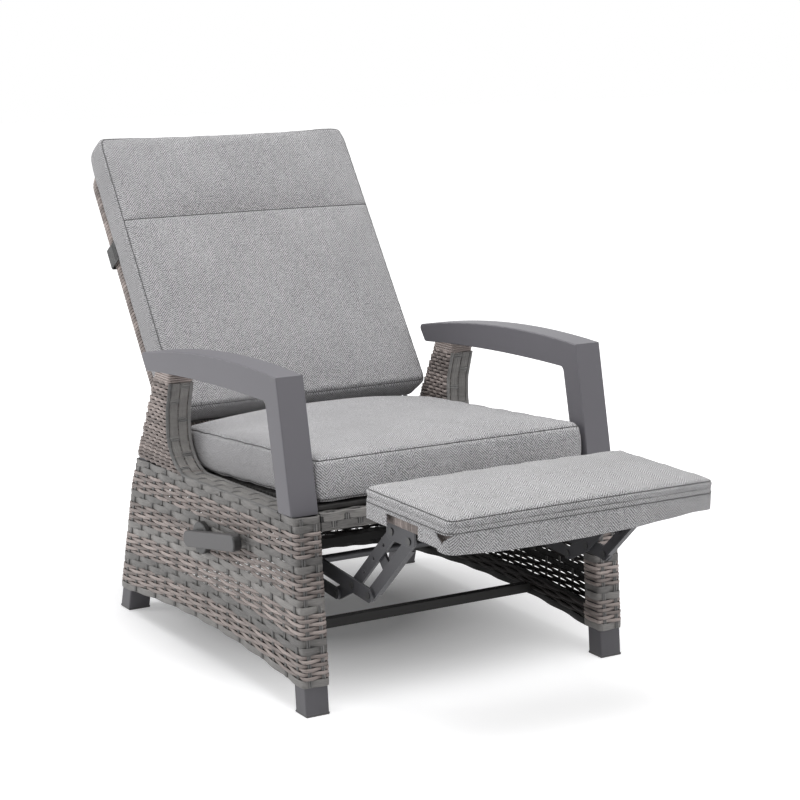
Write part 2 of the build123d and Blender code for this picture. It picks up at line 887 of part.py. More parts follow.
with BuildPart() as back_weave:
    with BuildSketch(back_plane.offset(-back_thickness)):
        with Locations(back_middle):
            RectangleRounded(2 * back_half_width, back_height, back_corner)
    extrude(amount=back_thickness)
    with BuildSketch(back_plane.offset(-back_thickness + back_wrap)):
        with Locations(back_middle):
            RectangleRounded(ring_width, ring_height, back_corner - back_wrap)
    extrude(amount=ring_depth, mode=Mode.SUBTRACT)
    for _, sign in sides:
        ring_side = ring_width / 2
        with BuildSketch(side_plane(sign, ring_side, back_half_width + overrun)):
            add(hinge_profile(seat_gap))
        extrude(amount=back_wrap + overrun, mode=Mode.SUBTRACT)
    with BuildSketch(back_rise_plane.offset(back_low - overrun)):
        with Locations((0, -back_thickness / 2)):
            Rectangle(2 * (fork_outer + seat_gap), ring_depth)
    extrude(amount=back_wrap + overrun, mode=Mode.SUBTRACT)
save(back_weave, "back_wicker")

back_pad = soft_block(
    back_rise_plane.offset(cushion_low),
    cushion_half_width,
    cushion_thickness,
    cushion_crown,
    cushion_draw,
    back_stations,
)
save(back_pad, "back_cushion")

with BuildPart() as strap:
    strap_half = cushion_half_width + seat_gap + strap_thick / 2
    strap_rear = -back_thickness - seat_gap - strap_thick / 2
    with BuildLine(Plane.XY) as strap_path:
        FilletPolyline(
            (strap_half, strap_reach),
            (strap_half, strap_rear),
            (-strap_half, strap_rear),
            (-strap_half, strap_reach),
            radius=strap_round,
        )
    with BuildSketch(back_rise_plane.offset(strap_start)):
        trace(strap_path.line, line_width=strap_thick)
    extrude(amount=strap_wide)
save(strap, "back_strap")

# Back hinges
with BuildSketch(Plane.XY) as bracket_side:
    slot_between((hinge_y, hinge_z), (hinge_y + bracket_back, hinge_z + bracket_lift), bracket_width)
for name, inner, thickness, outline in (
    ("hinge_plates", ring_width / 2, back_wrap, hinge_profile(0)),
    ("hinge_brackets", span - bracket_plate, bracket_plate, bracket_side.sketch),
):
    with BuildPart() as hinge_parts:
        for _, sign in sides:
            with BuildSketch(side_plane(sign, inner, inner + thickness)):
                add(outline)
                with Locations((hinge_y, hinge_z)):
                    Circle(hinge_bolt_radius + pin_clearance, mode=Mode.SUBTRACT)
            extrude(amount=thickness)
    save(hinge_parts, name)

with BuildPart() as hinge_bolts:
    for _, sign in sides:
        inside = ring_width / 2 - pin_clearance
        outside = back_half_width + pin_clearance
        for inner, outer, radius in (
            (inside - hinge_head, inside, hinge_head_radius),
            (inside, span, hinge_bolt_radius),
            (outside, span - bracket_plate, collar_radius),
        ):
            with BuildSketch(side_plane(sign, inner, outer)):
                with Locations((hinge_y, hinge_z)):
                    Circle(radius)
            extrude(amount=outer - inner)
save(hinge_bolts, "hinge_bolts")

# Footrest linkage


def plate_solid(sign, inner, outer, outline, holes):
    """Flat link between two distances from the centre, with round holes (point, radius)."""
    with BuildPart() as link:
        with BuildSketch(side_plane(sign, inner, outer)):
            add(outline)
            for point, radius in holes:
                with Locations(point):
                    Circle(radius, mode=Mode.SUBTRACT)
        extrude(amount=outer - inner)
    return link


def plate_pair(inner, outer, outline, holes):
    """The same flat link on both sides of the chair."""
    with BuildPart() as pair:
        add([plate_solid(sign, inner, outer, outline, holes).part for _, sign in sides])
    return pair


def pin_solid(sign, point, inner, outer):
    """Riveted pin through layers between two distances from the centre, with a head at each end."""
    free_inner = inner - pin_clearance
    free_outer = outer + pin_clearance
    with BuildPart() as pin:
        for start, end, radius in (
            (free_inner - head_height, free_inner, head_radius),
            (free_inner, free_outer, pin_radius),
            (free_outer, free_outer + head_height, head_radius),
        ):
            with BuildSketch(side_plane(sign, start, end)):
                with Locations(point):
                    Circle(radius)
            extrude(amount=end - start)
    return pin.part


def between(start, end, share):
    """Point on the line between two side view points."""
    return (start[0] + share * (end[0] - start[0]), start[1] + share * (end[1] - start[1]))


def beside(point, distance):
    """Point beside an upper bar, on the side of the other bar."""
    return (
        point[0] - distance * sin(radians(bar_rise)),
        point[1] - distance * cos(radians(bar_rise)),
    )


running_hole = pin_radius + pin_clearance
open_hole = pin_radius + open_pivot_clearance

plate_middle = ((plate_front + plate_rear) / 2, (plate_low + seat_front_height) / 2)
with BuildSketch(Plane.XY) as hanger_face:
    with BuildLine():
        Polyline(
            (plate_front, plate_low),
            (plate_rear, plate_low),
            (plate_rear, seat_height(plate_rear) - deck_under - overrun),
            (plate_front, seat_height(plate_front) - deck_under - overrun),
            close=True,
        )
    make_face()
    fillet(hanger_face.vertices().group_by(Axis.Y)[0], plate_corner)

with BuildSketch(Plane.XY) as lower_face:
    slot_between(pivot_link, pivot_bar_2, link_width)

with BuildSketch(Plane.XY) as rear_face:
    slot_between(pivot_rear, pivot_tail, rear_link_width)

with BuildSketch(Plane.XY) as upper_face:
    slot_between(pivot_bar_1, pivot_foot_1, bar_width)
    slot_between(pivot_tail, pivot_bar_1, bar_width)

with BuildSketch(Plane.XY) as stop_face:
    stop_start = between(pivot_bar_1, pivot_foot_1, stop_share)
    slot_between(stop_start, beside(stop_start, stop_reach - stop_width / 2), stop_width)

with BuildSketch(Plane.XY) as front_face:
    slot_between(pivot_bar_2, pivot_foot_2, bar_width)

with BuildSketch(Plane.XY) as flange_face:
    flange_middle = beside(between(pivot_bar_2, pivot_foot_2, 1 / 2), (bar_width - flange_plate) / 2)
    with Locations(flange_middle):
        flange_length = bar_length * (1 - 2 * flange_share)
        Rectangle(flange_length, flange_plate, rotation=slope(pivot_bar_2, pivot_foot_2))

bracket_high = foot_skirt_bottom + foot_wrap
with BuildSketch(Plane.XY) as bracket_face:
    with BuildLine():
        FilletPolyline(
            (bracket_start, bracket_high),
            (bracket_start, bracket_low),
            (bracket_end, bracket_low),
            (bracket_end, bracket_high),
            radius=bracket_corner,
        )
        Line((bracket_end, bracket_high), (bracket_start, bracket_high))
    make_face()

hanger_holes = [(pivot_link, running_hole), (pivot_rear, running_hole), (plate_middle, plate_hole)]
lower_holes = [(point, running_hole) for point in (pivot_link, pivot_bar_1, pivot_bar_2)]
bracket_holes = [(point, running_hole) for point in (pivot_foot_1, pivot_foot_2)]
save(plate_pair(plate_inner, plate_outer, hanger_face.sketch, hanger_holes), "link_plates")
save(plate_pair(link_inner, link_outer, lower_face.sketch, lower_holes), "lower_links")
save(plate_pair(bracket_inner, bracket_outer, bracket_face.sketch, bracket_holes), "footrest_brackets")

for side, sign in sides:
    rear_holes = [(point, running_hole) for point in (pivot_rear, pivot_tail)]
    save(plate_solid(sign, link_inner, link_outer, rear_face.sketch, rear_holes), f"rear_link_{side}")

    foot_hole = running_hole if side == "left" else open_hole
    bar_holes = [(pivot_bar_1, running_hole), (pivot_tail, open_hole), (pivot_foot_1, foot_hole)]
    for share in weight_hole_shares:
        bar_holes.append((between(pivot_bar_1, pivot_foot_1, share), weight_hole))
    save(plate_solid(sign, bar_inner, bar_outer, upper_face.sketch, bar_holes), f"upper_bar_{side}")
    save(plate_solid(sign, stop_inner, bar_inner, stop_face.sketch, []), f"stop_plate_{side}")

    front_holes = [(pivot_bar_2, running_hole), (pivot_foot_2, open_hole)]
    with BuildPart() as front_bar:
        add(plate_solid(sign, bar_inner, bar_outer, front_face.sketch, front_holes).part)
        with BuildSketch(side_plane(sign, bar_inner - flange_depth, bar_inner)):
            add(flange_face.sketch)
        extrude(amount=flange_depth)
    save(front_bar, f"front_bar_{side}")

    with BuildPart() as rear_pin:
        add(pin_solid(sign, pivot_tail, bar_inner, link_outer))
    save(rear_pin, f"rear_link_pin_{side}")

with BuildPart() as torque_tube:
    with BuildSketch(Plane.YZ):
        with Locations(pivot_link):
            Circle(torque_radius)
            Circle(torque_radius - torque_wall, mode=Mode.SUBTRACT)
    extrude(amount=link_inner, both=True)
save(torque_tube, "torque_tube")

with BuildPart() as plate_pivots:
    for _, sign in sides:
        add(pin_solid(sign, pivot_rear, link_inner, plate_outer))
        for start, end, radius in (
            (bar_inner, plate_outer + pin_clearance, pin_radius),
            (plate_outer + pin_clearance, plate_outer + pin_clearance + head_height, head_radius),
        ):
            with BuildSketch(side_plane(sign, start, end)):
                with Locations(pivot_link):
                    Circle(radius)
            extrude(amount=end - start)
save(plate_pivots, "plate_pivots")

with BuildPart() as lower_pins:
    for _, sign in sides:
        for point in (pivot_bar_1, pivot_bar_2):
            add(pin_solid(sign, point, bar_inner, link_outer))
save(lower_pins, "lower_link_pins")

with BuildPart() as foot_pins:
    for _, sign in sides:
        for point in (pivot_foot_1, pivot_foot_2):
            add(pin_solid(sign, point, bar_inner, bracket_outer))
save(foot_pins, "footrest_pins")

# Footrest: tube ring, woven wrap and the cushion with its pocket
foot_middle = (0, (rest_rear_y + rest_front_y) / 2)
wrap_width = 2 * (foot_half_width - foot_skirt - seat_gap)
wrap_length = foot_length - 2 * (foot_skirt + seat_gap)
wrap_low = foot_skirt_bottom
wrap_height = foot_pad_bottom - seat_gap - wrap_low
tube_low = wrap_low + foot_wrap
tube_height = wrap_height - 2 * foot_wrap
tube_width = wrap_width - 2 * foot_wrap
tube_length = wrap_length - 2 * foot_wrap

with BuildPart() as foot_ring:
    for inset, band, low, height, mode in (
        (0, foot_frame_size, tube_low, tube_height, Mode.ADD),
        (
            foot_frame_wall,
            foot_frame_size - 2 * foot_frame_wall,
            tube_low + foot_frame_wall,
            tube_height - 2 * foot_frame_wall,
            Mode.SUBTRACT,
        ),
    ):
        with BuildSketch(Plane.XY.offset(low)):
            with Locations(foot_middle):
                RectangleRounded(tube_width - 2 * inset, tube_length - 2 * inset, foot_frame_corner)
                Rectangle(
                    tube_width - 2 * (inset + band), tube_length - 2 * (inset + band), mode=Mode.SUBTRACT
                )
        extrude(amount=height, mode=mode)
    with BuildSketch(Plane.XY.offset(tube_low - overrun)):
        with Locations((0, foot_middle[1] - tube_length / 2 + foot_frame_size / 2)):
            Circle(drain_radius)
    extrude(amount=tube_height / 2, mode=Mode.SUBTRACT)
save(foot_ring, "footrest_frame")

with BuildPart() as foot_weave:
    with BuildSketch(Plane.XY.offset(wrap_low)):
        with Locations(foot_middle):
            RectangleRounded(wrap_width, wrap_length, foot_frame_corner + foot_wrap)
    extrude(amount=wrap_height)
    with BuildSketch(Plane.XY.offset(tube_low)):
        with Locations(foot_middle):
            RectangleRounded(tube_width, tube_length, foot_frame_corner)
    extrude(amount=tube_height, mode=Mode.SUBTRACT)
    with BuildSketch(Plane.XY.offset(wrap_low)):
        for _, sign in sides:
            bracket_x = sign * (bracket_inner + bracket_outer) / 2
            with Locations((bracket_x, (bracket_start + bracket_end) / 2)):
                Rectangle(link_plate + 2 * seat_gap, bracket_start - bracket_end + 2 * seat_gap)
    extrude(amount=foot_wrap, mode=Mode.SUBTRACT)
save(foot_weave, "footrest_wicker")

foot_front_view = Plane(origin=(0, rest_rear_y, foot_pad_bottom), x_dir=(1, 0, 0), z_dir=(0, -1, 0))
foot_pad = soft_block(
    foot_front_view, foot_half_width, foot_pad_thickness, foot_crown, foot_draw, foot_stations
)
skirt_height = foot_pad_bottom - foot_skirt_bottom + foot_skirt
with BuildPart() as foot_cushion:
    add(foot_pad.part)
    with BuildSketch(Plane.XY.offset(foot_skirt_bottom)):
        with Locations(foot_middle):
            RectangleRounded(
                2 * (foot_half_width - foot_draw),
                foot_length - 2 * foot_skirt_draw,
                foot_frame_corner + foot_wrap + foot_skirt,
            )
    extrude(amount=skirt_height)
    with BuildSketch(Plane.XY.offset(foot_skirt_bottom)):
        with Locations(foot_middle):
            RectangleRounded(wrap_width + 2 * seat_gap, wrap_length + 2 * seat_gap, foot_frame_corner + foot_wrap)
    extrude(amount=foot_pad_bottom - foot_skirt_bottom, mode=Mode.SUBTRACT)
    with BuildSketch(Plane.YZ):
        with Locations((rest_rear_y - cutout_start - cutout_length / 2, foot_skirt_bottom)):
            RectangleRounded(cutout_length, 2 * (foot_pad_bottom - foot_skirt_bottom - foot_skirt), cutout_corner)
        with BuildLine():
            Polyline(
                (rest_front_y - overrun, foot_skirt_bottom + notch_rise),
                (rest_front_y + notch_length, foot_skirt_bottom + notch_rise / 2),
                (rest_front_y + notch_length / 2, foot_skirt_bottom + notch_rise),
                close=True,
            )
        make_face()
    extrude(amount=half_width, both=True, mode=Mode.SUBTRACT)
save(foot_cushion, "footrest_cushion")

# Gas spring between the middle seat rail and the crank on the back frame
spring_end = (spring_pivot_y, spring_pivot_z)
ring_low = back_low + back_wrap
with BuildPart() as crank:
    for _, sign in sides:
        with BuildSketch(side_plane(sign, fork_inner, fork_outer)):
            slot_between(crank_end, back_point(ring_low, -back_thickness / 2), crank_width)
            with Locations(crank_end):
                Circle(running_hole, mode=Mode.SUBTRACT)
            with BuildLine():
                Polyline(
                    back_point(ring_low, -back_thickness),
                    back_point(ring_low, back_thickness),
                    back_point(ring_low + crank_width, back_thickness),
                    back_point(ring_low + crank_width, -back_thickness),
                    close=True,
                )
            make_face(mode=Mode.SUBTRACT)
        extrude(amount=fork_plate)
save(crank, "back_crank")

with BuildPart() as fork:
    with BuildSketch(seat_side_view):
        with Locations((mid_rail_back, -rail_under - spring_flange / 2)):
            Rectangle(spring_flange_reach, spring_flange)
    extrude(amount=spring_flange_reach / 2, both=True)
    for _, sign in sides:
        with BuildSketch(side_plane(sign, fork_inner, fork_outer)):
            flange_point = (spring_pivot_y, seat_height(spring_pivot_y) - rail_under - spring_flange / 2)
            with BuildLine():
                Polyline(
                    (spring_pivot_y - spring_fork_width / 2, spring_pivot_z),
                    (flange_point[0] - spring_fork_width / 2, flange_point[1]),
                    (flange_point[0] + spring_fork_width / 2, flange_point[1]),
                    (spring_pivot_y + spring_fork_width / 2, spring_pivot_z),
                    close=True,
                )
            make_face()
            with Locations(spring_end):
                Circle(spring_fork_width / 2)
                Circle(running_hole, mode=Mode.SUBTRACT)
        extrude(amount=fork_plate)
save(fork, "spring_bracket")

for name, point in (("spring_pin", spring_end), ("crank_pin", crank_end)):
    with BuildPart() as cross_pin:
        add(pin_solid(1, point, -fork_outer, fork_outer))
    save(cross_pin, name)

spring_length = hypot(crank_end[0] - spring_end[0], crank_end[1] - spring_end[1])
cylinder_length = cylinder_share * spring_length
rod_inside = rod_inside_share * cylinder_length
spring_plane = Plane(
    origin=(0, *spring_end),
    x_dir=(1, 0, 0),
    z_dir=(0, crank_end[0] - spring_end[0], crank_end[1] - spring_end[1]),
)
with BuildPart() as cylinder:
    with BuildSketch(Plane.YZ):
        with Locations(spring_end):
            Circle(eye_radius)
    extrude(amount=eye_width / 2, both=True)
    with BuildSketch(spring_plane.offset(eye_radius / 2)):
        Circle(eye_width / 2)
    extrude(amount=cylinder_start - eye_radius / 2)
    with BuildSketch(spring_plane.offset(cylinder_start)):
        Circle(cylinder_radius)
    extrude(amount=cylinder_length)
    with BuildSketch(spring_plane.offset(cylinder_start + cylinder_end)):
        Circle(cylinder_bore)
    extrude(amount=cylinder_length - 2 * cylinder_end, mode=Mode.SUBTRACT)
    with BuildSketch(spring_plane.offset(cylinder_start + cylinder_length - cylinder_end)):
        Circle(rod_radius + pin_clearance)
    extrude(amount=cylinder_end, mode=Mode.SUBTRACT)
    with BuildSketch(Plane.YZ):
        with Locations(spring_end):
            Circle(running_hole)
    extrude(amount=eye_width, both=True, mode=Mode.SUBTRACT)
save(cylinder, "gas_cylinder")

with BuildPart() as rod:
    with BuildSketch(Plane.YZ):
        with Locations(crank_end):
            Circle(eye_radius)
    extrude(amount=eye_width / 2, both=True)
    rod_start = cylinder_start + cylinder_length - rod_inside
    with BuildSketch(spring_plane.offset(rod_start)):
        Circle(rod_radius)
    extrude(amount=spring_length - eye_radius / 2 - rod_start)
    with BuildSketch(spring_plane.offset(rod_start)):
        Circle(cylinder_bore - pin_clearance)
    extrude(amount=piston_length)
    with BuildSketch(Plane.YZ):
        with Locations(crank_end):
            Circle(pin_radius + rod_eye_clearance)
    extrude(amount=eye_width, both=True, mode=Mode.SUBTRACT)
save(rod, "gas_rod")

# Release lever on the left side panel
lever_axis = (lever_y, lever_z)
lever_inner = half_width + rosette_height + rosette_gap
lever_outer = lever_inner + lever_thickness
with BuildPart() as rosette:
    with BuildSketch(side_plane(-1, half_width, half_width + rosette_height)):
        with Locations(lever_axis):
            Circle(rosette_radius)
            Circle(shaft_radius + pin_clearance, mode=Mode.SUBTRACT)
    extrude(amount=rosette_height)
    outer_rim = rosette.faces().sort_by(Axis.X)[0].edges().sort_by(SortBy.RADIUS)[-1]
    fillet(outer_rim, lever_edge)
save(rosette, "lever_rosette")

boss_outer = leg_outer - seat_gap
plate_x = frame_mid + rail_size / 2
with BuildPart() as lever_strap:
    with BuildSketch(side_plane(-1, plate_x, plate_x + lever_plate_thick)):
        strap_top = rim_height(lever_y + lever_plate_width / 2) - skin - rail_clearance
        with Locations((lever_y, (lever_plate_low + strap_top) / 2)):
            Rectangle(lever_plate_width, strap_top - lever_plate_low)
    extrude(amount=lever_plate_thick)
    with BuildSketch(side_plane(-1, plate_x, boss_outer)):
        with Locations(lever_axis):
            Circle(boss_radius)
    extrude(amount=boss_outer - plate_x)
    with BuildSketch(side_plane(-1, plate_x - overrun, half_width)):
        with Locations(lever_axis):
            Circle(shaft_radius + pin_clearance)
    extrude(amount=half_width - plate_x + overrun, mode=Mode.SUBTRACT)
save(lever_strap, "lever_strap")

with BuildPart() as lever_shaft:
    with BuildSketch(side_plane(-1, plate_x - lever_plate_thick, lever_inner)):
        with Locations(lever_axis):
            Circle(shaft_radius)
    extrude(amount=lever_inner - plate_x + lever_plate_thick)
save(lever_shaft, "lever_shaft")

lever_tip = step(lever_axis, lever_front - lever_height / 2, lever_rise)
lever_tail = step(lever_axis, lever_height / 2 - lever_back, lever_rise)
with BuildPart() as whole_lever:
    with BuildSketch(side_plane(-1, lever_inner, lever_outer)):
        slot_between(lever_tail, lever_tip, lever_height)
    extrude(amount=lever_thickness)
    fillet(whole_lever.faces().filter_by(Axis.X).edges(), lever_edge)
cap_start = step(lever_axis, lever_front - lever_cap, lever_rise)
cap_plane = Plane(
    origin=(0, *cap_start),
    x_dir=(1, 0, 0),
    z_dir=(0, -cos(radians(lever_rise)), sin(radians(lever_rise))),
)
for name, keep in (("release_lever", Keep.BOTTOM), ("lever_cap", Keep.TOP)):
    with BuildPart() as lever_piece:
        add(whole_lever.part)
        split(bisect_by=cap_plane, keep=keep)
    save(lever_piece, name)
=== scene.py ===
# %% [markdown]
# # A reclining garden armchair in woven strands and fabric
#
# The chair has a woven body on a tube frame, arched metal arms, three fabric cushions and a
# footrest on a folding linkage. The measured model is loaded as a fixed frame in metres. The
# pieces made here take the place of its plain cushions and panels, in the same frame.

# %% Load the measured frame
import bpy
import bmesh
import json
import random
from math import ceil, cos, exp, floor, hypot, pi, radians, sin, sqrt, tan
from mathutils import Matrix, Vector
from mathutils.bvhtree import BVHTree
from mathutils.kdtree import KDTree
from mathutils.noise import noise


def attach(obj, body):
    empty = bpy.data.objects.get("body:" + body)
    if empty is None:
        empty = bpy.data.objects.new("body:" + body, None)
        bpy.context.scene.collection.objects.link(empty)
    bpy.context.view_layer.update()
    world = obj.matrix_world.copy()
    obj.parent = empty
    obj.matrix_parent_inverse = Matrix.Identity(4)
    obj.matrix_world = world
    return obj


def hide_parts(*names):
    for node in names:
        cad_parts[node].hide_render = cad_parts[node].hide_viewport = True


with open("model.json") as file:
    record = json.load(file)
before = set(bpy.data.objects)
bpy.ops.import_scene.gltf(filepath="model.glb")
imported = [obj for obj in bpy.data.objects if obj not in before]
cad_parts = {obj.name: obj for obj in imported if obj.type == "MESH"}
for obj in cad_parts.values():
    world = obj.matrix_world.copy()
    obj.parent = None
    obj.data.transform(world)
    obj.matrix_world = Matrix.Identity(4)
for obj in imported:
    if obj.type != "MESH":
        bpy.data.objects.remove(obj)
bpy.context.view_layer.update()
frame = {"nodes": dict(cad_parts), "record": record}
mm = 0.001

# %% [markdown]
# ## Camera
# The photograph looks down a little on the chair from its front right corner. A long lens keeps
# the lines nearly parallel, so the camera stands far away. Its place and direction were worked
# out from straight edges of the seat and the arms.

# %% Camera at the photograph's angle
camera_place = Vector((-2.2157, -3.8006, 1.3979))
camera_turn = radians(31.3033)
looking = Vector((0.5090, 0.8371, -0.2004)).normalized()
sideways = Vector((cos(camera_turn), -sin(camera_turn), 0))
upwards = sideways.cross(looking).normalized()
camera_data = bpy.data.cameras.new("photo_camera")
camera_data.lens = 96.93
camera_data.sensor_width = 36
camera_data.clip_end = 60
camera = bpy.data.objects.new("photo_camera", camera_data)
bpy.context.collection.objects.link(camera)
turn = Matrix((sideways, upwards, -looking)).transposed()
camera.matrix_world = Matrix.Translation(camera_place) @ turn.to_4x4()
bpy.context.scene.camera = camera
bpy.context.scene.view_settings.view_transform = "Standard"
print("camera looks down", round(-looking.z, 3))

# %% [markdown]
# ## Node helpers
# Every finish below is a tree of shader nodes. These short helpers add a node, set its values and
# join it to others, so that each finish reads as a list of what happens on the surface.


# %% Helpers that build shader trees
def node(tree, kind, inputs=None, **settings):
    """Add a node; inputs may hold plain values or sockets of other nodes."""
    made = tree.nodes.new(kind)
    for key, value in settings.items():
        setattr(made, key, value)
    for key, value in (inputs or {}).items():
        socket = made.inputs[key]
        if isinstance(value, bpy.types.NodeSocket):
            tree.links.new(value, socket)
        else:
            socket.default_value = value
    return made


def math(tree, operation, first, second=0.0, third=0.0):
    """One arithmetic step; returns its output socket."""
    terms = {0: first, 1: second, 2: third}
    return node(tree, "ShaderNodeMath", terms, operation=operation).outputs[0]


def both(tree, first, second):
    """Product of two masks: where one and the other hold."""
    return math(tree, "MULTIPLY", first, second)


def above(tree, value, limit):
    """Mask of the places where a value is over a limit."""
    return math(tree, "GREATER_THAN", value, limit)


def below(tree, value, limit):
    """Mask of the places where a value is under a limit."""
    return math(tree, "LESS_THAN", value, limit)


def blend_colours(tree, factor, first, second):
    """Mix two colours by a factor; returns the colour socket."""
    mix = node(tree, "ShaderNodeMix", data_type="RGBA")
    for index, value in ((0, factor), (6, first), (7, second)):
        if isinstance(value, bpy.types.NodeSocket):
            tree.links.new(value, mix.inputs[index])
        else:
            mix.inputs[index].default_value = value
    return mix.outputs[2]


def grey(level, red=0.0, blue=None):
    """A linear colour from a grey level of 0 to 1 as seen on screen, tinted by red and blue."""
    parts = (level + red, level, level + (-red if blue is None else blue))
    return tuple(max(part, 0.0) ** 2.2 for part in parts) + (1.0,)


def darker(colour, factor):
    """A colour with its light reduced to a share."""
    return tuple(part * factor for part in colour[:3]) + (1.0,)


def new_finish(name):
    """An empty material with its Principled shader."""
    finish = bpy.data.materials.new(name)
    finish.use_nodes = True
    tree = finish.node_tree
    return finish, tree, tree.nodes["Principled BSDF"]


def object_place(tree):
    """Object coordinates, taken apart into x, y and z."""
    place = node(tree, "ShaderNodeTexCoord").outputs["Object"]
    return node(tree, "ShaderNodeSeparateXYZ", {0: place})


def object_noise(tree, scale, detail=3.0, stretch=(1.0, 1.0, 1.0)):
    """Noise in object coordinates, stretched by a factor for each axis."""
    place = node(tree, "ShaderNodeTexCoord").outputs["Object"]
    mapped = node(tree, "ShaderNodeMapping", {"Vector": place, "Scale": stretch}).outputs[0]
    settings = {"Vector": mapped, "Scale": scale, "Detail": detail}
    return node(tree, "ShaderNodeTexNoise", settings).outputs[0]


def raise_surface(tree, shader, height, strength, distance):
    """Bump from a height socket into a shader's normal."""
    settings = {"Height": height, "Strength": strength, "Distance": distance}
    bump = node(tree, "ShaderNodeBump", settings)
    tree.links.new(bump.outputs[0], shader.inputs["Normal"])


def set_shader(shader, **values):
    """Plain values on a shader's own sockets; an underscore stands for a space."""
    for label, value in values.items():
        shader.inputs[label.replace("_", " ")].default_value = value


print("a middle grey as a linear colour:", [round(part, 3) for part in grey(0.5)])

# %% [markdown]
# ## Floor and light
# The chair stands on a plain white floor that runs into a white background. The floor is a plain
# diffuse surface; a glow that lights nothing, because only the camera and mirrored rays see it,
# lifts it to white. The glow is added to the floor's own light and is weaker under the chair, a
# painted shadow that darkens the floor there beyond the chair's own shadow. The world is bright for
# the same rays alone, and three large soft lamps light the chair.


# %% Rays that show the background
def seen_rays(tree):
    """1 for rays that show the background: to the camera, mirrored or through something clear."""
    rays = node(tree, "ShaderNodeLightPath")
    direct = math(tree, "MAXIMUM", rays.outputs["Is Camera Ray"], rays.outputs["Is Transmission Ray"])
    print("background shown to its own rays in", tree.name)
    return math(tree, "MAXIMUM", direct, rays.outputs["Is Glossy Ray"])


# %% Floor with a glow that is weaker under the chair, a painted shadow
floor_finish, tree, shader = new_finish("floor_white")
set_shader(shader, Base_Color=(0.80, 0.80, 0.81, 1), Roughness=1.0, Specular_IOR_Level=0.0)
glow = node(tree, "ShaderNodeEmission", {"Color": (1, 1, 1, 1)})
floor_spot = node(tree, "ShaderNodeTexCoord").outputs["Object"]
# Painted shadow: the glow is weakest round this point under the chair and grows with distance from it.
painted_shadow_centre = (0.0, 0.15, 0.0)
glow_and_painted_shadow_steps = ((0.18, 0.62, 0.10, 0.58), (0.62, 1.4, 0.0, 0.36))
measure = node(tree, "ShaderNodeVectorMath", {0: floor_spot, 1: painted_shadow_centre}, operation="DISTANCE")
away = measure.outputs["Value"]
glow_parts = [
    node(tree, "ShaderNodeMapRange", {0: away, 1: start, 2: end, 3: low, 4: high}).outputs[0]
    for start, end, low, high in glow_and_painted_shadow_steps
]
glow_less_painted_shadow = math(tree, "ADD", *glow_parts)
tree.links.new(math(tree, "MULTIPLY", seen_rays(tree), glow_less_painted_shadow), glow.inputs["Strength"])
lit_and_glow = node(tree, "ShaderNodeAddShader", {0: shader.outputs[0], 1: glow.outputs[0]})
tree.links.new(lit_and_glow.outputs[0], tree.nodes["Material Output"].inputs["Surface"])

floor_mesh = bpy.data.meshes.new("studio_floor")
reach = 14.0
floor_corners = [(-reach, -reach, 0), (reach, -reach, 0), (reach, reach, 0), (-reach, reach, 0)]
floor_mesh.from_pydata(floor_corners, [], [(0, 1, 2, 3)])
floor_mesh.materials.append(floor_finish)
studio_floor = bpy.data.objects.new("studio_floor", floor_mesh)
bpy.context.collection.objects.link(studio_floor)
print("floor:", 2 * reach, "m wide")

# %% World, white to the camera and dimmer as a light
world = bpy.data.worlds.new("studio")
bpy.context.scene.world = world
world.use_nodes = True
tree = world.node_tree
world_light, full_white = 0.30, 1.0
strength = math(tree, "MULTIPLY_ADD", seen_rays(tree), full_white - world_light, world_light)
tree.links.new(strength, tree.nodes["Background"].inputs["Strength"])
tree.nodes["Background"].inputs["Color"].default_value = (1, 1, 1, 1)
print("world light:", world_light)


# %% Three soft lamps
def lamp(name, place, size, power):
    """A square soft lamp aimed at the middle of the seat."""
    data = bpy.data.lights.new(name, "AREA")
    data.size = size
    data.energy = power
    lamp_object = bpy.data.objects.new(name, data)
    bpy.context.collection.objects.link(lamp_object)
    lamp_object.location = place
    aim = Vector((0, 0, 0.4)) - Vector(place)
    lamp_object.rotation_euler = aim.to_track_quat("-Z", "Y").to_euler()
    print("lamp", name, power, "W")


lamp("overhead", (-0.4, -0.5, 4.2), 2.8, 112)
lamp("side_left", (-3.9, 2.4, 1.7), 2.2, 68)
lamp("front_right", (1.9, -4.6, 2.4), 2.6, 34)

# %% [markdown]
# ## Measures of the woven body
# The strands follow the frame of the measured model. These functions give the side view of a side
# panel in millimetres: its leaning front and rear edges, the rim on top and the arched lower edge.

# %% Side view of the woven body
INNER, OUTER = 313.5, 372.5
FOOT_Y, REAR_BEND = 425, 298.0
FRONT_LEAN, REAR_LEAN, POST_LEAN = radians(5.7), radians(15.7), radians(26.7)
BEND_Y = FOOT_Y - REAR_BEND * tan(REAR_LEAN)


def front_y(z):
    """Front face of the front leg at a height."""
    return -FOOT_Y + z * tan(FRONT_LEAN)


def rear_y(z):
    """Rear face of the rear leg at a height; above its bend it leans more."""
    if z <= REAR_BEND:
        return FOOT_Y - z * tan(REAR_LEAN)
    return BEND_Y - (z - REAR_BEND) * tan(POST_LEAN)


RIM_HIGH, RIM_FALL, POST_Y = 380, 19, 161
RIM_FRONT = front_y(RIM_HIGH) - 4.5


def rim_z(y):
    """Height of the rim of the side panel."""
    return RIM_HIGH - RIM_FALL * (y - RIM_FRONT) / (POST_Y - RIM_FRONT)


ARCH_START, ARCH_RUN, ARCH_RISE = -375.3, 742.3, 94
FRONT_LOW, LOW_FALL = 57, 7


def low_z(y):
    """Lower edge of the side panel: a shallow arch between the feet."""
    share = min(max((y - ARCH_START) / ARCH_RUN, 0.0), 1.0)
    return FRONT_LOW - LOW_FALL * share + ARCH_RISE * share * (1 - share)


SWEEP_Y, SWEEP_Z, SWEEP_RADIUS = 76, 449, 85
POST_BEND, POST_FALL, POST_RUN = 485, 23, 81


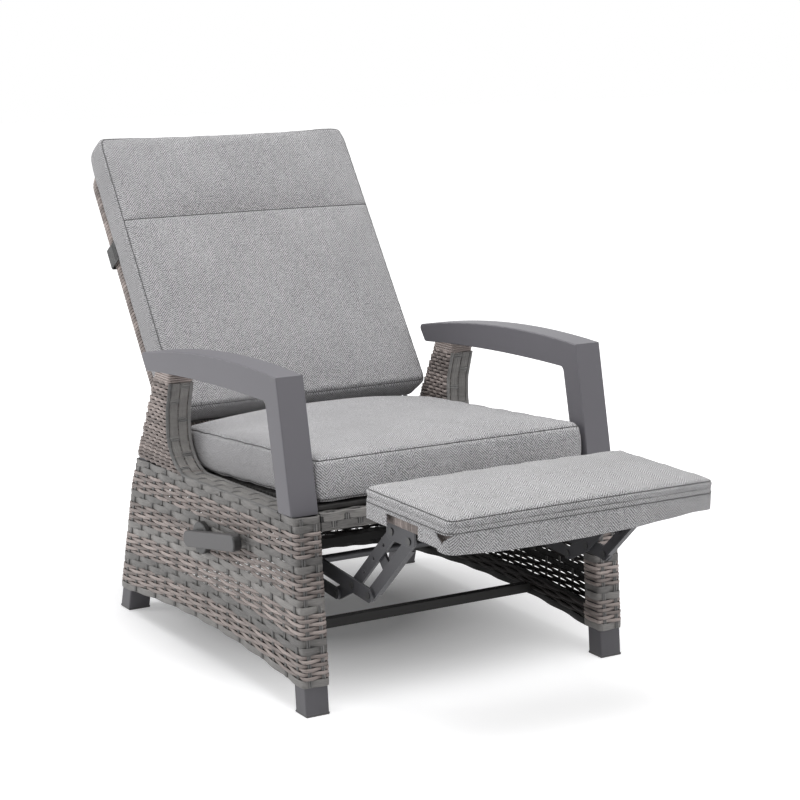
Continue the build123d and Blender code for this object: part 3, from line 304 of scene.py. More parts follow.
def post_front(z):
    """Front edge of the rear post, which sweeps up out of the rim."""
    if z < SWEEP_Z:
        return SWEEP_Y + sqrt(max(SWEEP_RADIUS ** 2 - (SWEEP_Z - z) ** 2, 0.0))
    return POST_Y - POST_FALL * max(z - POST_BEND, 0.0) / POST_RUN


print("rim height at the arm and at the post:", round(rim_z(-330), 1), round(rim_z(80), 1))

# %% [markdown]
# ## The weaving tree
# Resin wicker is one thing many times over: a strand that passes over one rod and under the next.
# Each strand is drawn as a plain line, and Geometry Nodes turn all lines of a panel into strands:
# the tree waves each line in and out, sweeps a flat or round section along it and gives it a
# finish. That needs a few named values and no modelling by hand.

# %% Geometry Nodes tree that turns lines into strands
weave_tree = bpy.data.node_groups.new("weave_strands", "GeometryNodeTree")
weave_sockets = {}
for label, kind, preset in (
    ("Lines", "NodeSocketGeometry", None),
    ("Wave height", "NodeSocketFloat", 0.002),
    ("Strand width", "NodeSocketFloat", 0.014),
    ("Strand thickness", "NodeSocketFloat", 0.0016),
    ("Roundness", "NodeSocketFloat", 0.5),
    ("Section points", "NodeSocketInt", 10),
    ("Finish", "NodeSocketMaterial", None),
):
    socket = weave_tree.interface.new_socket(label, in_out="INPUT", socket_type=kind)
    if preset is not None:
        socket.default_value = preset
    weave_sockets[label] = socket.identifier
weave_tree.interface.new_socket("Strands", in_out="OUTPUT", socket_type="NodeSocketGeometry")
print("inputs of the weaving tree:", ", ".join(weave_sockets))


# %% From a line to a waved curve
def step(kind, inputs=None, **settings):
    """Add a node to the weaving tree."""
    return node(weave_tree, kind, inputs, **settings)


def gn_math(operation, first, second=0.0):
    """One arithmetic step of the weaving tree."""
    return step("ShaderNodeMath", {0: first, 1: second}, operation=operation).outputs[0]


def gn_attribute(label, kind):
    """A named attribute of the lines."""
    return step("GeometryNodeInputNamedAttribute", {"Name": label}, data_type=kind).outputs[0]


given = step("NodeGroupInput").outputs
along = gn_attribute("along", "FLOAT")
outward = gn_attribute("outward", "FLOAT_VECTOR")
wave = gn_math("MULTIPLY", gn_math("COSINE", gn_math("MULTIPLY", along, pi)), given["Wave height"])
lift = step("ShaderNodeVectorMath", {0: outward, 3: wave}, operation="SCALE").outputs[0]
curves = step("GeometryNodeMeshToCurve", {"Mesh": given["Lines"]}).outputs[0]
waved = step("GeometryNodeSetPosition", {"Geometry": curves, "Offset": lift}).outputs[0]
turning = {"Curve": waved, "Normal": outward}
turned = step("GeometryNodeSetCurveNormal", turning, mode="FREE").outputs[0]
print("steps up to the waved curve:", len(weave_tree.nodes))

# %% From a circle to the section of a strand
circle = step("GeometryNodeCurvePrimitiveCircle", {"Resolution": given["Section points"], "Radius": 1.0})
spot = step("ShaderNodeSeparateXYZ", {0: step("GeometryNodeInputPosition").outputs[0]})
section_sides = {}
for axis, size in enumerate(("Strand thickness", "Strand width")):
    squared = gn_math("POWER", gn_math("ABSOLUTE", spot.outputs[axis]), given["Roundness"])
    signed = gn_math("MULTIPLY", squared, gn_math("SIGN", spot.outputs[axis]))
    section_sides[axis] = gn_math("MULTIPLY", signed, gn_math("MULTIPLY", given[size], 0.5))
section_place = step("ShaderNodeCombineXYZ", section_sides).outputs[0]
marking = {"Geometry": circle.outputs[0], "Name": "across", "Value": spot.outputs[1]}
marked = step("GeometryNodeStoreNamedAttribute", marking).outputs[0]
section = step("GeometryNodeSetPosition", {"Geometry": marked, "Position": section_place}).outputs[0]
print("steps up to the section:", len(weave_tree.nodes))

# %% Sweep the section and give it a finish
sweeping = {"Curve": turned, "Profile Curve": section, "Fill Caps": True}
swept = step("GeometryNodeCurveToMesh", sweeping).outputs[0]
real = step("GeometryNodeRealizeInstances", {0: swept}).outputs[0]
smooth = step("GeometryNodeSetShadeSmooth", {"Geometry": real, "Shade Smooth": True}).outputs[0]
finishing = {"Geometry": smooth, "Material": given["Finish"]}
finished = step("GeometryNodeSetMaterial", finishing).outputs[0]
step("NodeGroupOutput", {0: finished})
print("weaving tree:", len(weave_tree.nodes), "nodes")

# %% [markdown]
# ## Lines in, strands out
# A line carries three things besides its place: the direction that points out of the weave, how
# many rods it has passed, which drives the wave, and a tone. They go into the mesh as attributes.
# The evaluated result is copied into a plain mesh, and the object with the modifier is removed.


# %% Draw lines, weave them and keep the mesh
def evaluated_mesh(piece):
    """The mesh of an object with its modifiers applied."""
    graph = bpy.context.evaluated_depsgraph_get()
    return bpy.data.meshes.new_from_object(piece.evaluated_get(graph), depsgraph=graph)


def weave(name, lines, finish, width, thickness, wave_height=0.0, roundness=0.5, points=10):
    """Strands along lines, each a list of (place in millimetres, outward, along) with a tone.

    Width, thickness and wave height are in millimetres. A roundness of 1 gives an oval section
    and a lower one a squarer section, with a number of points round it."""
    verts, edges, outs, alongs, tones = [], [], [], [], []
    for line, tone in lines:
        first = len(verts)
        for place, out, position in line:
            verts.append([value * mm for value in place])
            outs.extend(out)
            alongs.append(position)
            tones.append(tone)
        edges.extend((index, index + 1) for index in range(first, len(verts) - 1))
    mesh = bpy.data.meshes.new(name + "_lines")
    mesh.from_pydata(verts, edges, [])
    for label, kind, field, values in (
        ("outward", "FLOAT_VECTOR", "vector", outs),
        ("along", "FLOAT", "value", alongs),
        ("tone", "FLOAT", "value", tones),
    ):
        mesh.attributes.new(label, kind, "POINT").data.foreach_set(field, values)
    source = bpy.data.objects.new(name + "_lines", mesh)
    bpy.context.collection.objects.link(source)
    modifier = source.modifiers.new("weave", "NODES")
    modifier.node_group = weave_tree
    for label, value in (
        ("Wave height", wave_height * mm), ("Strand width", width * mm),
        ("Strand thickness", thickness * mm), ("Roundness", roundness),
        ("Section points", points), ("Finish", finish),
    ):
        modifier[weave_sockets[label]] = value
    result = evaluated_mesh(source)
    bpy.data.objects.remove(source)
    result.name = name
    print(name, "has", len(lines), "strands")
    return result


# %% Join the meshes of one piece
def join(name, meshes, body, slot, *replaced):
    """Join meshes of one piece into an object that rides on a body."""
    joined = bpy.data.meshes.new(name)
    piece = bpy.data.objects.new(name, joined)
    bpy.context.collection.objects.link(piece)
    work = bmesh.new()
    finishes = []
    for mesh in meshes:
        shift = len(work.faces)
        work.from_mesh(mesh)
        work.faces.ensure_lookup_table()
        own = list(mesh.materials)
        for face in work.faces[shift:]:
            material = own[min(face.material_index, len(own) - 1)]
            if material not in finishes:
                finishes.append(material)
            face.material_index = finishes.index(material)
    bmesh.ops.recalc_face_normals(work, faces=work.faces)
    work.to_mesh(joined)
    work.free()
    for material in finishes:
        joined.materials.append(material)
    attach(piece, body)
    if replaced:
        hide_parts(*replaced)
    print(name, len(joined.polygons), "faces")
    return piece


# %% [markdown]
# ## Strand finishes
# The strands are extruded resin with fine ribs along them. The wide ones are grey, the narrow ones
# brown with a pink tint, and no two runs have quite the same tone. On the inner side of the body the
# strands get a painted shade, nearly black. The tone of a line and the place across a strand come
# with the mesh as attributes, so the finish needs no image.


# %% Finish of the resin strands
# Limits, in metres, of the inner side of the body that gets painted shade.
SKIN_START, SKIN_END, OUTER_SKIN, APRON_END = 0.3115, 0.3192, 0.36, 0.3136
BEHIND_LEG, LEG_SLOPE, APRON_START, UNDER_RIM = -0.376, -0.0998, 0.2, 0.362


def painted_inner_shade(tree):
    """Mask of the inner side of the body, where the strands get a painted shade, nearly black."""
    x, y, z = object_place(tree).outputs
    normal = node(tree, "ShaderNodeNewGeometry").outputs["Normal"]
    facing_x, facing_y, _ = node(tree, "ShaderNodeSeparateXYZ", {0: normal}).outputs
    from_middle = math(tree, "ABSOLUTE", x)
    from_leg = math(tree, "MULTIPLY_ADD", z, LEG_SLOPE, y)
    inner_skin = both(tree, above(tree, from_middle, SKIN_START), below(tree, from_middle, SKIN_END))
    inner_skin = both(tree, inner_skin, above(tree, from_leg, BEHIND_LEG))
    inwards = math(tree, "MULTIPLY", facing_x, math(tree, "SIGN", x))
    sideways_face = below(tree, math(tree, "ABSOLUTE", facing_y), 0.5)
    facing_in = both(tree, below(tree, inwards, -0.3), sideways_face)
    outer_skin = both(tree, facing_in, above(tree, from_middle, OUTER_SKIN))
    apron_front = both(tree, below(tree, facing_y, 0.05), above(tree, y, APRON_START))
    apron_inside = both(tree, apron_front, below(tree, from_middle, APRON_END))
    all_parts = math(tree, "MAXIMUM", math(tree, "MAXIMUM", inner_skin, outer_skin), apron_inside)
    return both(tree, all_parts, below(tree, z, UNDER_RIM))


def strand_finish(name, dark, light, rib_count):
    """Ribbed resin whose tone changes from strand to strand and along each one, with painted shade on the
    inner side of the body.
    """
    finish, tree, shader = new_finish(name)
    tone = node(tree, "ShaderNodeAttribute", attribute_name="tone").outputs["Fac"]
    across_strand = node(tree, "ShaderNodeAttribute", attribute_name="across").outputs["Fac"]
    patches = object_noise(tree, 26.0, 4.0, (1.0, 1.0, 2.5))
    streaks = object_noise(tree, 140.0, 2.0, (0.4, 0.4, 2.0))
    mixed = math(tree, "MULTIPLY_ADD", patches, 0.7, math(tree, "MULTIPLY", tone, 0.55))
    mixed = math(tree, "MULTIPLY_ADD", streaks, 0.35, math(tree, "SUBTRACT", mixed, 0.3))
    outside = blend_colours(tree, math(tree, "MINIMUM", mixed, 1.0), dark, light)
    # Painted shade: strands on the inner side of the body are blended to a fifth of their dark tone.
    shaded = darker(dark, 0.2)
    colour = blend_colours(tree, painted_inner_shade(tree), outside, shaded)
    tree.links.new(colour, shader.inputs["Base Color"])
    set_shader(shader, Roughness=0.55, Specular_IOR_Level=0.35)
    ribs = math(tree, "SINE", math(tree, "MULTIPLY", across_strand, pi * rib_count))
    raise_surface(tree, shader, math(tree, "MULTIPLY_ADD", streaks, 0.8, ribs), 0.5, 0.0004)
    print("finish", name)
    return finish


warm_dark, warm_light = grey(0.38, 0.026, -0.010), grey(0.74, 0.052, -0.022)
wide_finish = strand_finish("wide_strand_grey", grey(0.37, 0.004), grey(0.64, 0.012), 5)
narrow_finish = strand_finish("narrow_strand_brown", warm_dark, warm_light, 2)
rod_finish = strand_finish("rod_strand_grey", grey(0.40), grey(0.62, 0.008), 1)

# %% [markdown]
# ## Side panels
# A panel is woven round a frame with its legs: each row starts on the inside of the front leg,
# passes its front, the whole outside and the rear leg, and ends inside. Two wide rows and six
# narrow ones repeat four times from the rim down, and a last wide row closes the lower edge. The
# rods fan out, so a place on a row is counted in rods and not in millimetres.

# %% Rows of a side panel
random.seed(7)
ROD_STEPS = 6
WIDE, NARROW = 14.7, 8.1
row_list = []
depth = 0.0
for is_wide in ([True] * 2 + [False] * 6) * 4 + [True]:
    size = WIDE if is_wide else NARROW
    row_list.append((depth + size / 2, is_wide))
    depth += size
PANEL_DEPTH = depth
print("rows:", len(row_list), "depth:", round(PANEL_DEPTH, 1))


# %% Paths round corners
CORNER_BULGE = 0.41


def round_corner_path(corners, stops, radius, closed=False):
    """Walk straight runs between corners in plan; stops give the rod count at each corner."""
    path = []
    for index in range(len(corners) - 1):
        (x0, y0), (x1, y1) = corners[index], corners[index + 1]
        length = hypot(x1 - x0, y1 - y0)
        direction = ((x1 - x0) / length, (y1 - y0) / length)
        out = (direction[1], -direction[0])
        inside_start = radius if index > 0 or closed else 0.0
        inside_end = radius if index < len(corners) - 2 or closed else 0.0
        count = max(2, round((stops[index + 1] - stops[index]) * ROD_STEPS))
        for number in range(count + 1):
            travelled = inside_start + (length - inside_start - inside_end) * number / count
            share = travelled / length
            place = (x0 + direction[0] * travelled, y0 + direction[1] * travelled)
            position = stops[index] + share * (stops[index + 1] - stops[index])
            path.append((place, out, position))
        if inside_end and index < len(corners) - 2 or closed:
            path.append(None)
    return path


def fill_corners(path, closed=False):
    """Put one rounded point between the runs that meet at each corner."""
    result = []
    for index, item in enumerate(path):
        if item is not None:
            result.append(item)
            continue
        before = path[index - 1]
        after = path[(index + 1) % len(path)]
        if index + 1 >= len(path) and not closed:
            continue
        (bx, by), bout, bpos = before
        (ax, ay), aout, apos = after
        if apos < bpos:
            apos = bpos + 0.2
        mid_out = Vector((bout[0] + aout[0], bout[1] + aout[1])).normalized()
        half = hypot(ax - bx, ay - by) / 2
        middle_x = (ax + bx) / 2 + mid_out.x * half * CORNER_BULGE
        middle_y = (ay + by) / 2 + mid_out.y * half * CORNER_BULGE
        result.append(((middle_x, middle_y), tuple(mid_out), (apos + bpos) / 2))
    if closed:
        first = result[0]
        result.append((first[0], first[1], result[-1][2] + 0.1))
    return result


turn_path = [((0.0, 0.0), (0, -1), 0.0), None, ((5.0, 5.0), (1, 0), 1.0)]
print("a turn is rounded through", [round(value, 2) for value in fill_corners(turn_path)[1][0]])

# %% [markdown]
# ## Rows and rods of a panel
# Rim and lower edge aren't parallel, so a row lies at a share of the way from one to the other,
# and so does every place on a rod. The rods are made after the rows and stand just behind them.

# %% Where rows and rods of a panel lie
ALONG_RODS, LEG_RODS = 17, 2
PROUD, INSIDE, OUTSIDE = 3.0, INNER + 2.0, OUTER - 2.2


def panel_ends(share):
    """Front and rear of a row that lies a share of the way from the rim to the lower edge."""
    z_front = rim_z(-390) - share * (rim_z(-390) - low_z(-420))
    z_rear = rim_z(320) - share * (rim_z(320) - low_z(420))
    return front_y(z_front) - PROUD, rear_y(z_rear) + PROUD


def panel_z(y, share):
    """Height of a place that lies a share of the way down."""
    return rim_z(y) - share * (rim_z(y) - low_z(y))


print("front and rear of the top row:", [round(value, 1) for value in panel_ends(0.0)])


# %% Rows of a side panel, round its legs
TOP_BAND, LOW_BAND, LEG_DEPTH, ROW_TURN = 52, 50, 46, 6.0


def panel_row(side, drop, row):
    """One row at a drop below the rim; near the rim and the lower edge it closes on the inside."""
    share = drop / PANEL_DEPTH
    in_band = drop < TOP_BAND or drop > PANEL_DEPTH - LOW_BAND
    front, rear = panel_ends(share)
    corners = [(INSIDE, front), (OUTSIDE, front), (OUTSIDE, rear), (INSIDE, rear)]
    stops = [-LEG_RODS - 0.5, -0.5, ALONG_RODS - 0.5, ALONG_RODS + LEG_RODS - 0.5]
    if in_band:
        corners.append(corners[0])
        stops.append(2 * ALONG_RODS + LEG_RODS - 0.5)
    else:
        corners = [(INSIDE, front + LEG_DEPTH)] + corners + [(INSIDE, rear - LEG_DEPTH)]
        stops = [stops[0] - 1] + stops + [stops[-1] + 1]
    flat = fill_corners(round_corner_path(corners, stops, ROW_TURN, in_band), in_band)
    return [
        ((side * x, y, panel_z(y, share)), (side * out[0], out[1], 0.0), position + row)
        for (x, y), out, position in flat
    ]


print("points of the top row:", len(panel_row(1, WIDE / 2, 0)))

# %% Pairs of rods behind the rows
ROD_PAIR = (-2.3, 2.3)
LEG_WIDTH, ROD_LEVELS = 59, 12


def panel_rods(side):
    """Rods fanned out between the rim and the lower edge, two on each leg and the rest between."""
    rods = []
    for rod in range(-LEG_RODS, ALONG_RODS + LEG_RODS):
        for beside in ROD_PAIR:
            line = []
            for level in range(ROD_LEVELS + 1):
                share = level / ROD_LEVELS
                front, rear = panel_ends(share)
                if rod < 0:
                    x = side * (OUTER - LEG_WIDTH * (-0.5 - rod) / LEG_RODS) + side * beside
                    y, out = front, (0, -1, 0)
                elif rod >= ALONG_RODS:
                    on_leg = rod - ALONG_RODS + 0.5
                    x = side * (OUTER - LEG_WIDTH * on_leg / LEG_RODS) + side * beside
                    y, out = rear, (0, 1, 0)
                else:
                    x = side * OUTSIDE
                    y = front + (rear - front) * (rod + 0.5) / ALONG_RODS + beside
                    out = (side, 0, 0)
                past_edge = -1.0 if share == 0 else (1.0 if share == 1 else 0.0)
                line.append(((x, y, panel_z(y, share) + past_edge), out, 0.5))
            rods.append((line, random.random()))
    return rods


print("rods of a panel:", (ALONG_RODS + 2 * LEG_RODS) * len(ROD_PAIR))


# %% [markdown]
# ## Rear posts and the band on the rim
# Above the rim the weave goes on round the rear post alone, in closed rows that get shorter with
# the post. Two wide strands lie on the rim from the arm to the post and climb it in one sweep.
# Short ties cross them in pairs, by turns on the outer and on the inner strand. One curve in side
# view gives all of them, so that they stay parallel.


# %% Rows of the rear post
POST_ROD_GAP, POST_TURN = 13.5, 5.0


def post_row(side, z, row):
    """A closed row round the rear post, above the rim."""
    front, rear = post_front(z) + PROUD, rear_y(z) + PROUD
    corners = [(INSIDE, front), (OUTSIDE, front), (OUTSIDE, rear), (INSIDE, rear), (INSIDE, front)]
    lengths = max(round((rear - front) / POST_ROD_GAP), 2)
    stops = [-LEG_RODS - 0.5, -0.5, lengths - 0.5, lengths + LEG_RODS - 0.5]
    stops.append(2 * lengths + LEG_RODS - 0.5)
    flat = fill_corners(round_corner_path(corners, stops, POST_TURN, True), True)
    return [
        ((side * x, y, z), (side * out[0], out[1], 0.0), position + row)
        for (x, y), out, position in flat
    ]


print("points of a row of the post:", len(post_row(1, SWEEP_Z, 0)))


# %% Curve of the rim and the post
RIM_PLACES, SWEEP_DEGREES, POST_HEIGHTS = range(-322, 70, 8), range(-88, 1, 8), range(457, 547, 8)


def rim_curve():
    """Side view of the rim from the arm to the top of the post, with its outward direction."""
    points = [(y, rim_z(y)) for y in RIM_PLACES]
    for degree in SWEEP_DEGREES:
        angle = radians(degree)
        sweep = (SWEEP_Y + SWEEP_RADIUS * cos(angle), SWEEP_Z + SWEEP_RADIUS * sin(angle))
        points.append(sweep)
    points += [(post_front(z), z) for z in POST_HEIGHTS]
    curve = []
    for index, (y, z) in enumerate(points):
        before = points[max(index - 1, 0)]
        after = points[min(index + 1, len(points) - 1)]
        run = Vector((after[0] - before[0], after[1] - before[1])).normalized()
        curve.append((y, z, -run.y, run.x))
    return curve


print("points along the rim:", len(rim_curve()))

# %% The band of two wide strands on the rim and up the post
THIN_PLACES, WIDE_PLACES = (4.5, 53.5), (18.5, 38.5)
FIRST_TIE, TIE_GAP, TIE_PAIR = 12.0, 38.0, (-2.6, 2.6)
TIE_SECTION = ((-11.5, -0.8), (-9.5, 1.2), (-4, 2.0), (4, 2.0), (9.5, 1.2), (11.5, -0.8))


def rim_band(side):
    """Strands that run along the rim: a thin edge, two wide strands and a thin inner edge."""
    curve = rim_curve()
    wide, thin, ties = [], [], []
    outer_edge, inner_edge = THIN_PLACES
    outer_strand, inner_strand = WIDE_PLACES
    for set_in, lines in (
        (outer_edge, thin), (outer_strand, wide), (inner_strand, wide), (inner_edge, thin),
    ):
        line = [((side * (OUTER - set_in), y, z), (0, oy, oz), 0.5) for y, z, oy, oz in curve]
        lines.append((line, random.random()))
    travelled, due, number = 0.0, FIRST_TIE, 0
    for before, after in zip(curve, curve[1:]):
        travelled += hypot(after[0] - before[0], after[1] - before[1])
        if travelled < due:
            continue
        due += TIE_GAP
        y, z, oy, oz = after
        set_in = outer_strand if number % 2 else inner_strand
        number += 1
        for beside in TIE_PAIR:
            run_y, run_z = oz * beside, -oy * beside
            line = []
            for part, height in TIE_SECTION:
                x = side * (OUTER - set_in - part)
                place = (x, y + run_y + oy * height, z + run_z + oz * height)
                line.append((place, (0, oy, oz), 0.5))
            ties.append((line, random.random()))
    return wide, thin, ties


print("a tie holds the band every", TIE_GAP, "mm")

# %% [markdown]
# ## Both sides
# The two sides are mirrored in place, but their tones are drawn anew, so that no strand has a twin.
# A few wraps close the top of each post, and flat strands lie under the lower edge.

# %% Weave both side panels
WRAP_START, WRAP_GAP, WRAP_COUNT = 549, 5.2, 4
UNDER_PLACES = (8, 21, 34, 47)
for side_name, side in (("left", -1), ("right", 1)):
    wide_rows, narrow_rows = [], []
    for row, (drop, is_wide) in enumerate(row_list):
        (wide_rows if is_wide else narrow_rows).append((panel_row(side, drop, row), random.random()))
    post_rows = []
    z, row = rim_z(POST_Y) + 5.0, 0
    while z < WRAP_START - 4:
        post_rows.append((post_row(side, z, row), random.random()))
        z += NARROW
        row += 1
    wraps = [(post_row(side, WRAP_START + WRAP_GAP * turn, 0), 0.9) for turn in range(WRAP_COUNT)]
    wide, thin, ties = rim_band(side)
    under = []
    for set_in in UNDER_PLACES:
        line = []
        for y in range(-372, 368, 18):
            line.append(((side * (OUTER - set_in - 2), y, low_z(y) + 1.5), (0, 0, -1), 0.5))
        under.append((line, random.random()))
    parts = [
        weave("rows_wide", wide_rows, wide_finish, WIDE + 0.2, 1.4, 2.0, 0.45, 8),
        weave("rows_narrow", narrow_rows, narrow_finish, NARROW - 0.6, 3.0, 2.3, 0.9, 6),
        weave("post_narrow", post_rows, narrow_finish, NARROW - 0.7, 2.8, 2.0, 0.9, 6),
        weave("post_wraps", wraps, narrow_finish, 4.8, 3.4, 0.0, 0.9, 8),
        weave("rods", panel_rods(side), rod_finish, 3.8, 2.6, 0.0, 0.9, 8),
        weave("band_wide", wide, wide_finish, 19.0, 3.0, 0.0, 0.6, 12),
        weave("band_thin", thin, rod_finish, 8.5, 4.5, 0.0, 0.9, 8),
        weave("band_ties", ties, rod_finish, 4.4, 1.8, 0.0, 0.8, 8),
        weave("under_strands", under, wide_finish, 13.6, 2.4, 0.0, 0.6, 8),
    ]
    join("woven_side_" + side_name, parts, "base", "wicker", "wicker_side_" + side_name)

# %% [markdown]
# ## Flat woven pieces
# The rear apron, the front beam, the back and the footrest frame use the same weave. Rows run
# across, pairs of rods stand behind them, and a tube at the edge is wound round with narrow
# strands. A small frame of directions for each piece keeps the strands in the plane of that piece.


# %% Directions of a leaning piece
class LocalFrame:
    """Directions of a piece: across is X, along runs up its length and out is its thickness."""

    def __init__(self, origin, lean):
        angle = radians(lean)
        self.origin = Vector((0, origin[0] * mm, origin[1] * mm))
        self.along = Vector((0, cos(angle), sin(angle)))
        self.out = Vector((0, -sin(angle), cos(angle)))

    def to_world(self, x, s, h):
        """Place in metres of a point given in millimetres along the three directions."""
        return self.origin + Vector((x * mm, 0, 0)) + self.along * (s * mm) + self.out * (h * mm)

    def direction(self, vector):
        """Shares of a vector along the three directions."""
        return Vector((vector.x, vector.dot(self.along), vector.dot(self.out)))

    def to_local(self, point):
        """Place along the three directions, in metres, of a point in the room."""
        return self.direction(point - self.origin)

    def world_vector(self, local):
        """Vector in the room, from its shares along the three directions."""
        return Vector((local.x, 0, 0)) + self.along * local.y + self.out * local.z


apron_frame = LocalFrame((425.0, 0.0), 105.7)
seat_frame = LocalFrame((-370.97, 392.0), -4.3)
back_frame = LocalFrame((250.03, 345.0), 55.0)
foot_frame = LocalFrame((-800.0, 428.0), 0.0)
print("top of the back, in metres:", [round(value, 3) for value in back_frame.to_world(0, 742, 0)])


# %% Rows of a flat field
def field_rows(local, h, facing, rod_gap, sizes, start, half_at, bow=None, steps=ROD_STEPS):
    """Rows across a flat piece; a bow bends them along the piece."""
    out = local.out * facing
    wide, narrow = [], []
    place = start
    for row, (size, is_wide) in enumerate(sizes):
        middle = place + size / 2
        place += size
        half = half_at(middle)
        count = ceil(2 * half / rod_gap * steps)
        line = []
        for number in range(count + 1):
            x = -half + 2 * half * number / count
            bend = bow(x, middle) if bow else 0.0
            line.append((local.to_world(x, middle + bend, h) / mm, out, x / rod_gap + row))
        (wide if is_wide else narrow).append((line, random.random()))
    return wide, narrow


def row_sizes(total, repeats, last_wide=True):
    """Two wide and six narrow rows, repeated and scaled to fill a length."""
    plan = ([True] * 2 + [False] * 6) * repeats + [True] * last_wide
    factor = total / sum(WIDE if is_wide else NARROW for is_wide in plan)
    return [((WIDE if is_wide else NARROW) * factor, is_wide) for is_wide in plan], factor


print("rows that fill 300 mm:", len(row_sizes(300, 3)[0]))


# %% Rods and strands of a flat field
FIELD_LEVELS, WIDTH_SAMPLES = 24, 20


def field_rods(local, h, facing, rod_gap, low, high, half_at, bow=None):
    """Pairs of rods along a flat piece."""
    out = local.out * facing
    rods = []
    sampled = [low + (high - low) * number / WIDTH_SAMPLES for number in range(WIDTH_SAMPLES + 1)]
    widest = max(half_at(s) for s in sampled)
    last = floor(widest / rod_gap)
    for rod in range(-last, last + 1):
        for beside in ROD_PAIR:
            x = rod * rod_gap + beside
            line = []
            for number in range(FIELD_LEVELS + 1):
                s = low + (high - low) * number / FIELD_LEVELS
                if abs(x) <= half_at(s):
                    bend = bow(x, s) if bow else 0.0
                    line.append((local.to_world(x, s + bend, h) / mm, out, 0.5))
            if len(line) > 1:
                rods.append((line, random.random()))
    return rods


def weave_field(label, rows, rods, factor, squeeze=1.0):
    """Turn rows and rods of a field into strands; a squeeze under 1 makes them flatter."""
    wide, narrow = rows
    wide_size, narrow_size = WIDE * factor + 0.2, NARROW * factor - 0.8
    return [
        weave(label + "_rods", rods, rod_finish, 3.8 * squeeze, 2.0 * squeeze, 0.0, 0.9, 6),
        weave(label + "_wide", wide, wide_finish, wide_size, 1.3 * squeeze, 1.3 * squeeze, 0.45, 8),
        weave(label + "_narrow", narrow, narrow_finish, narrow_size, 2.4 * squeeze, 1.4 * squeeze, 0.9, 6),
    ]


print("pairs of rods across 600 mm:", 2 * floor(300 / 27.2) + 1)

# %% [markdown]
# ## Wound edges
# The tube at the edge of a woven piece is hidden by a strand wound round it, turn beside turn. A
# helix would be one very long curve. A closed loop at each place along the edge looks the same,
# and single loops can be left out where a bracket clasps the tube.


# %% Loops round a tube or a beam
def corner_turns(low_u, high_u, low_v, high_v, corner, degrees):
    """Centres and angles of the four round corners of a rectangle, one after the other."""
    for cu, cv, start in (
        (high_u - corner, high_v - corner, 0), (low_u + corner, high_v - corner, 90),
        (low_u + corner, low_v + corner, 180), (high_u - corner, low_v + corner, 270),
    ):
        for degree in degrees:
            yield cu, cv, radians(start + degree)


def section_loop(low_u, high_u, low_v, high_v, corner):
    """Rounded rectangle with outward directions; the end meets the start."""
    points = []
    for cu, cv, angle in corner_turns(low_u, high_u, low_v, high_v, corner, (0, 45, 90)):
        points.append((cu + corner * cos(angle), cv + corner * sin(angle), cos(angle), sin(angle)))
    return points + points[:1]


print("points of a loop:", len(section_loop(0, 30, 0, 30, 4)))


# %% Outline of a ring, and strands wound round it
def ring_outline(half, low, high, corner, gap):
    """Points about a gap apart on a rounded rectangle, with the inward direction at each."""
    outline = []
    runs = (
        (half, low + corner, 0, high - low - 2 * corner, (0, 1)),
        (half - corner, high - corner, 90, None, None),
        (half - corner, high, 0, 2 * (half - corner), (-1, 0)),
        (corner - half, high - corner, 180, None, None),
        (-half, high - corner, 0, high - low - 2 * corner, (0, -1)),
        (corner - half, low + corner, 270, None, None),
        (corner - half, low, 0, 2 * (half - corner), (1, 0)),
        (half - corner, low + corner, 360, None, None),
    )
    for x, s, turn_end, length, way in runs:
        if way:
            count = max(1, round(length / gap))
            for number in range(count):
                travelled = length * (number + 0.5) / count
                outline.append((x + way[0] * travelled, s + way[1] * travelled, -way[1], way[0]))
        else:
            count = max(1, round(corner * pi / 2 / gap))
            for number in range(count):
                angle = radians(turn_end - 90 + 90 * (number + 0.5) / count)
                outline.append((x + corner * cos(angle), s + corner * sin(angle), -cos(angle), -sin(angle)))
    return outline


def ring_wraps(local, outline, depth_in, low_h, high_h, corner, keep=None):
    """A narrow strand wound round the edge tube at each point of an outline."""
    wraps = []
    loop = section_loop(0.0, depth_in, low_h, high_h, corner)
    for x, s, in_x, in_s in outline:
        if keep and not keep(x, s):
            continue
        line = []
        for u, h, nu, nh in loop:
            place = local.to_world(x + in_x * u, s + in_s * u, h) / mm
            out = Vector((in_x * nu, 0, 0)) + local.along * (in_s * nu) + local.out * nh
            line.append((place, out, 0.5))
        wraps.append((line, random.random()))
    return wraps


print("places round a ring of 600 by 700 mm:", len(ring_outline(300, 0, 700, 60, 7.6)))

# %% [markdown]
# ## Rear apron and front beam
# The apron closes the body between the rear legs; its rows follow the low arch of its lower edge.
# The front beam of the seat is wrapped along its length, and its rods run round it.

# %% Rear apron
APRON_LOW, APRON_HIGH, APRON_HALF = 52.0, 310.0, 313.2
APRON_SKIN, APRON_ROD_GAP, APRON_ARCH = 2.4, 27.2, 16.0


def apron_bow(x, s):
    """Rise of a row in the middle: most at the lower edge, none at the top."""
    share = (s - APRON_LOW) / (APRON_HIGH - APRON_LOW)
    return APRON_ARCH * (1 - (x / APRON_HALF) ** 2) * (1 - share)


def apron_half(s):
    """Half width of the apron, the same all the way up."""
    return APRON_HALF


sizes, factor = row_sizes(APRON_HIGH - APRON_LOW, 3)
field = (apron_frame, APRON_SKIN, -1, APRON_ROD_GAP)
rows = field_rows(*field, sizes, APRON_LOW, apron_half, apron_bow)
rods = field_rods(*field, APRON_LOW + 1, APRON_HIGH - 1, apron_half, apron_bow)
join("woven_apron", weave_field("apron", rows, rods, factor), "base", "wicker", "rear_apron")

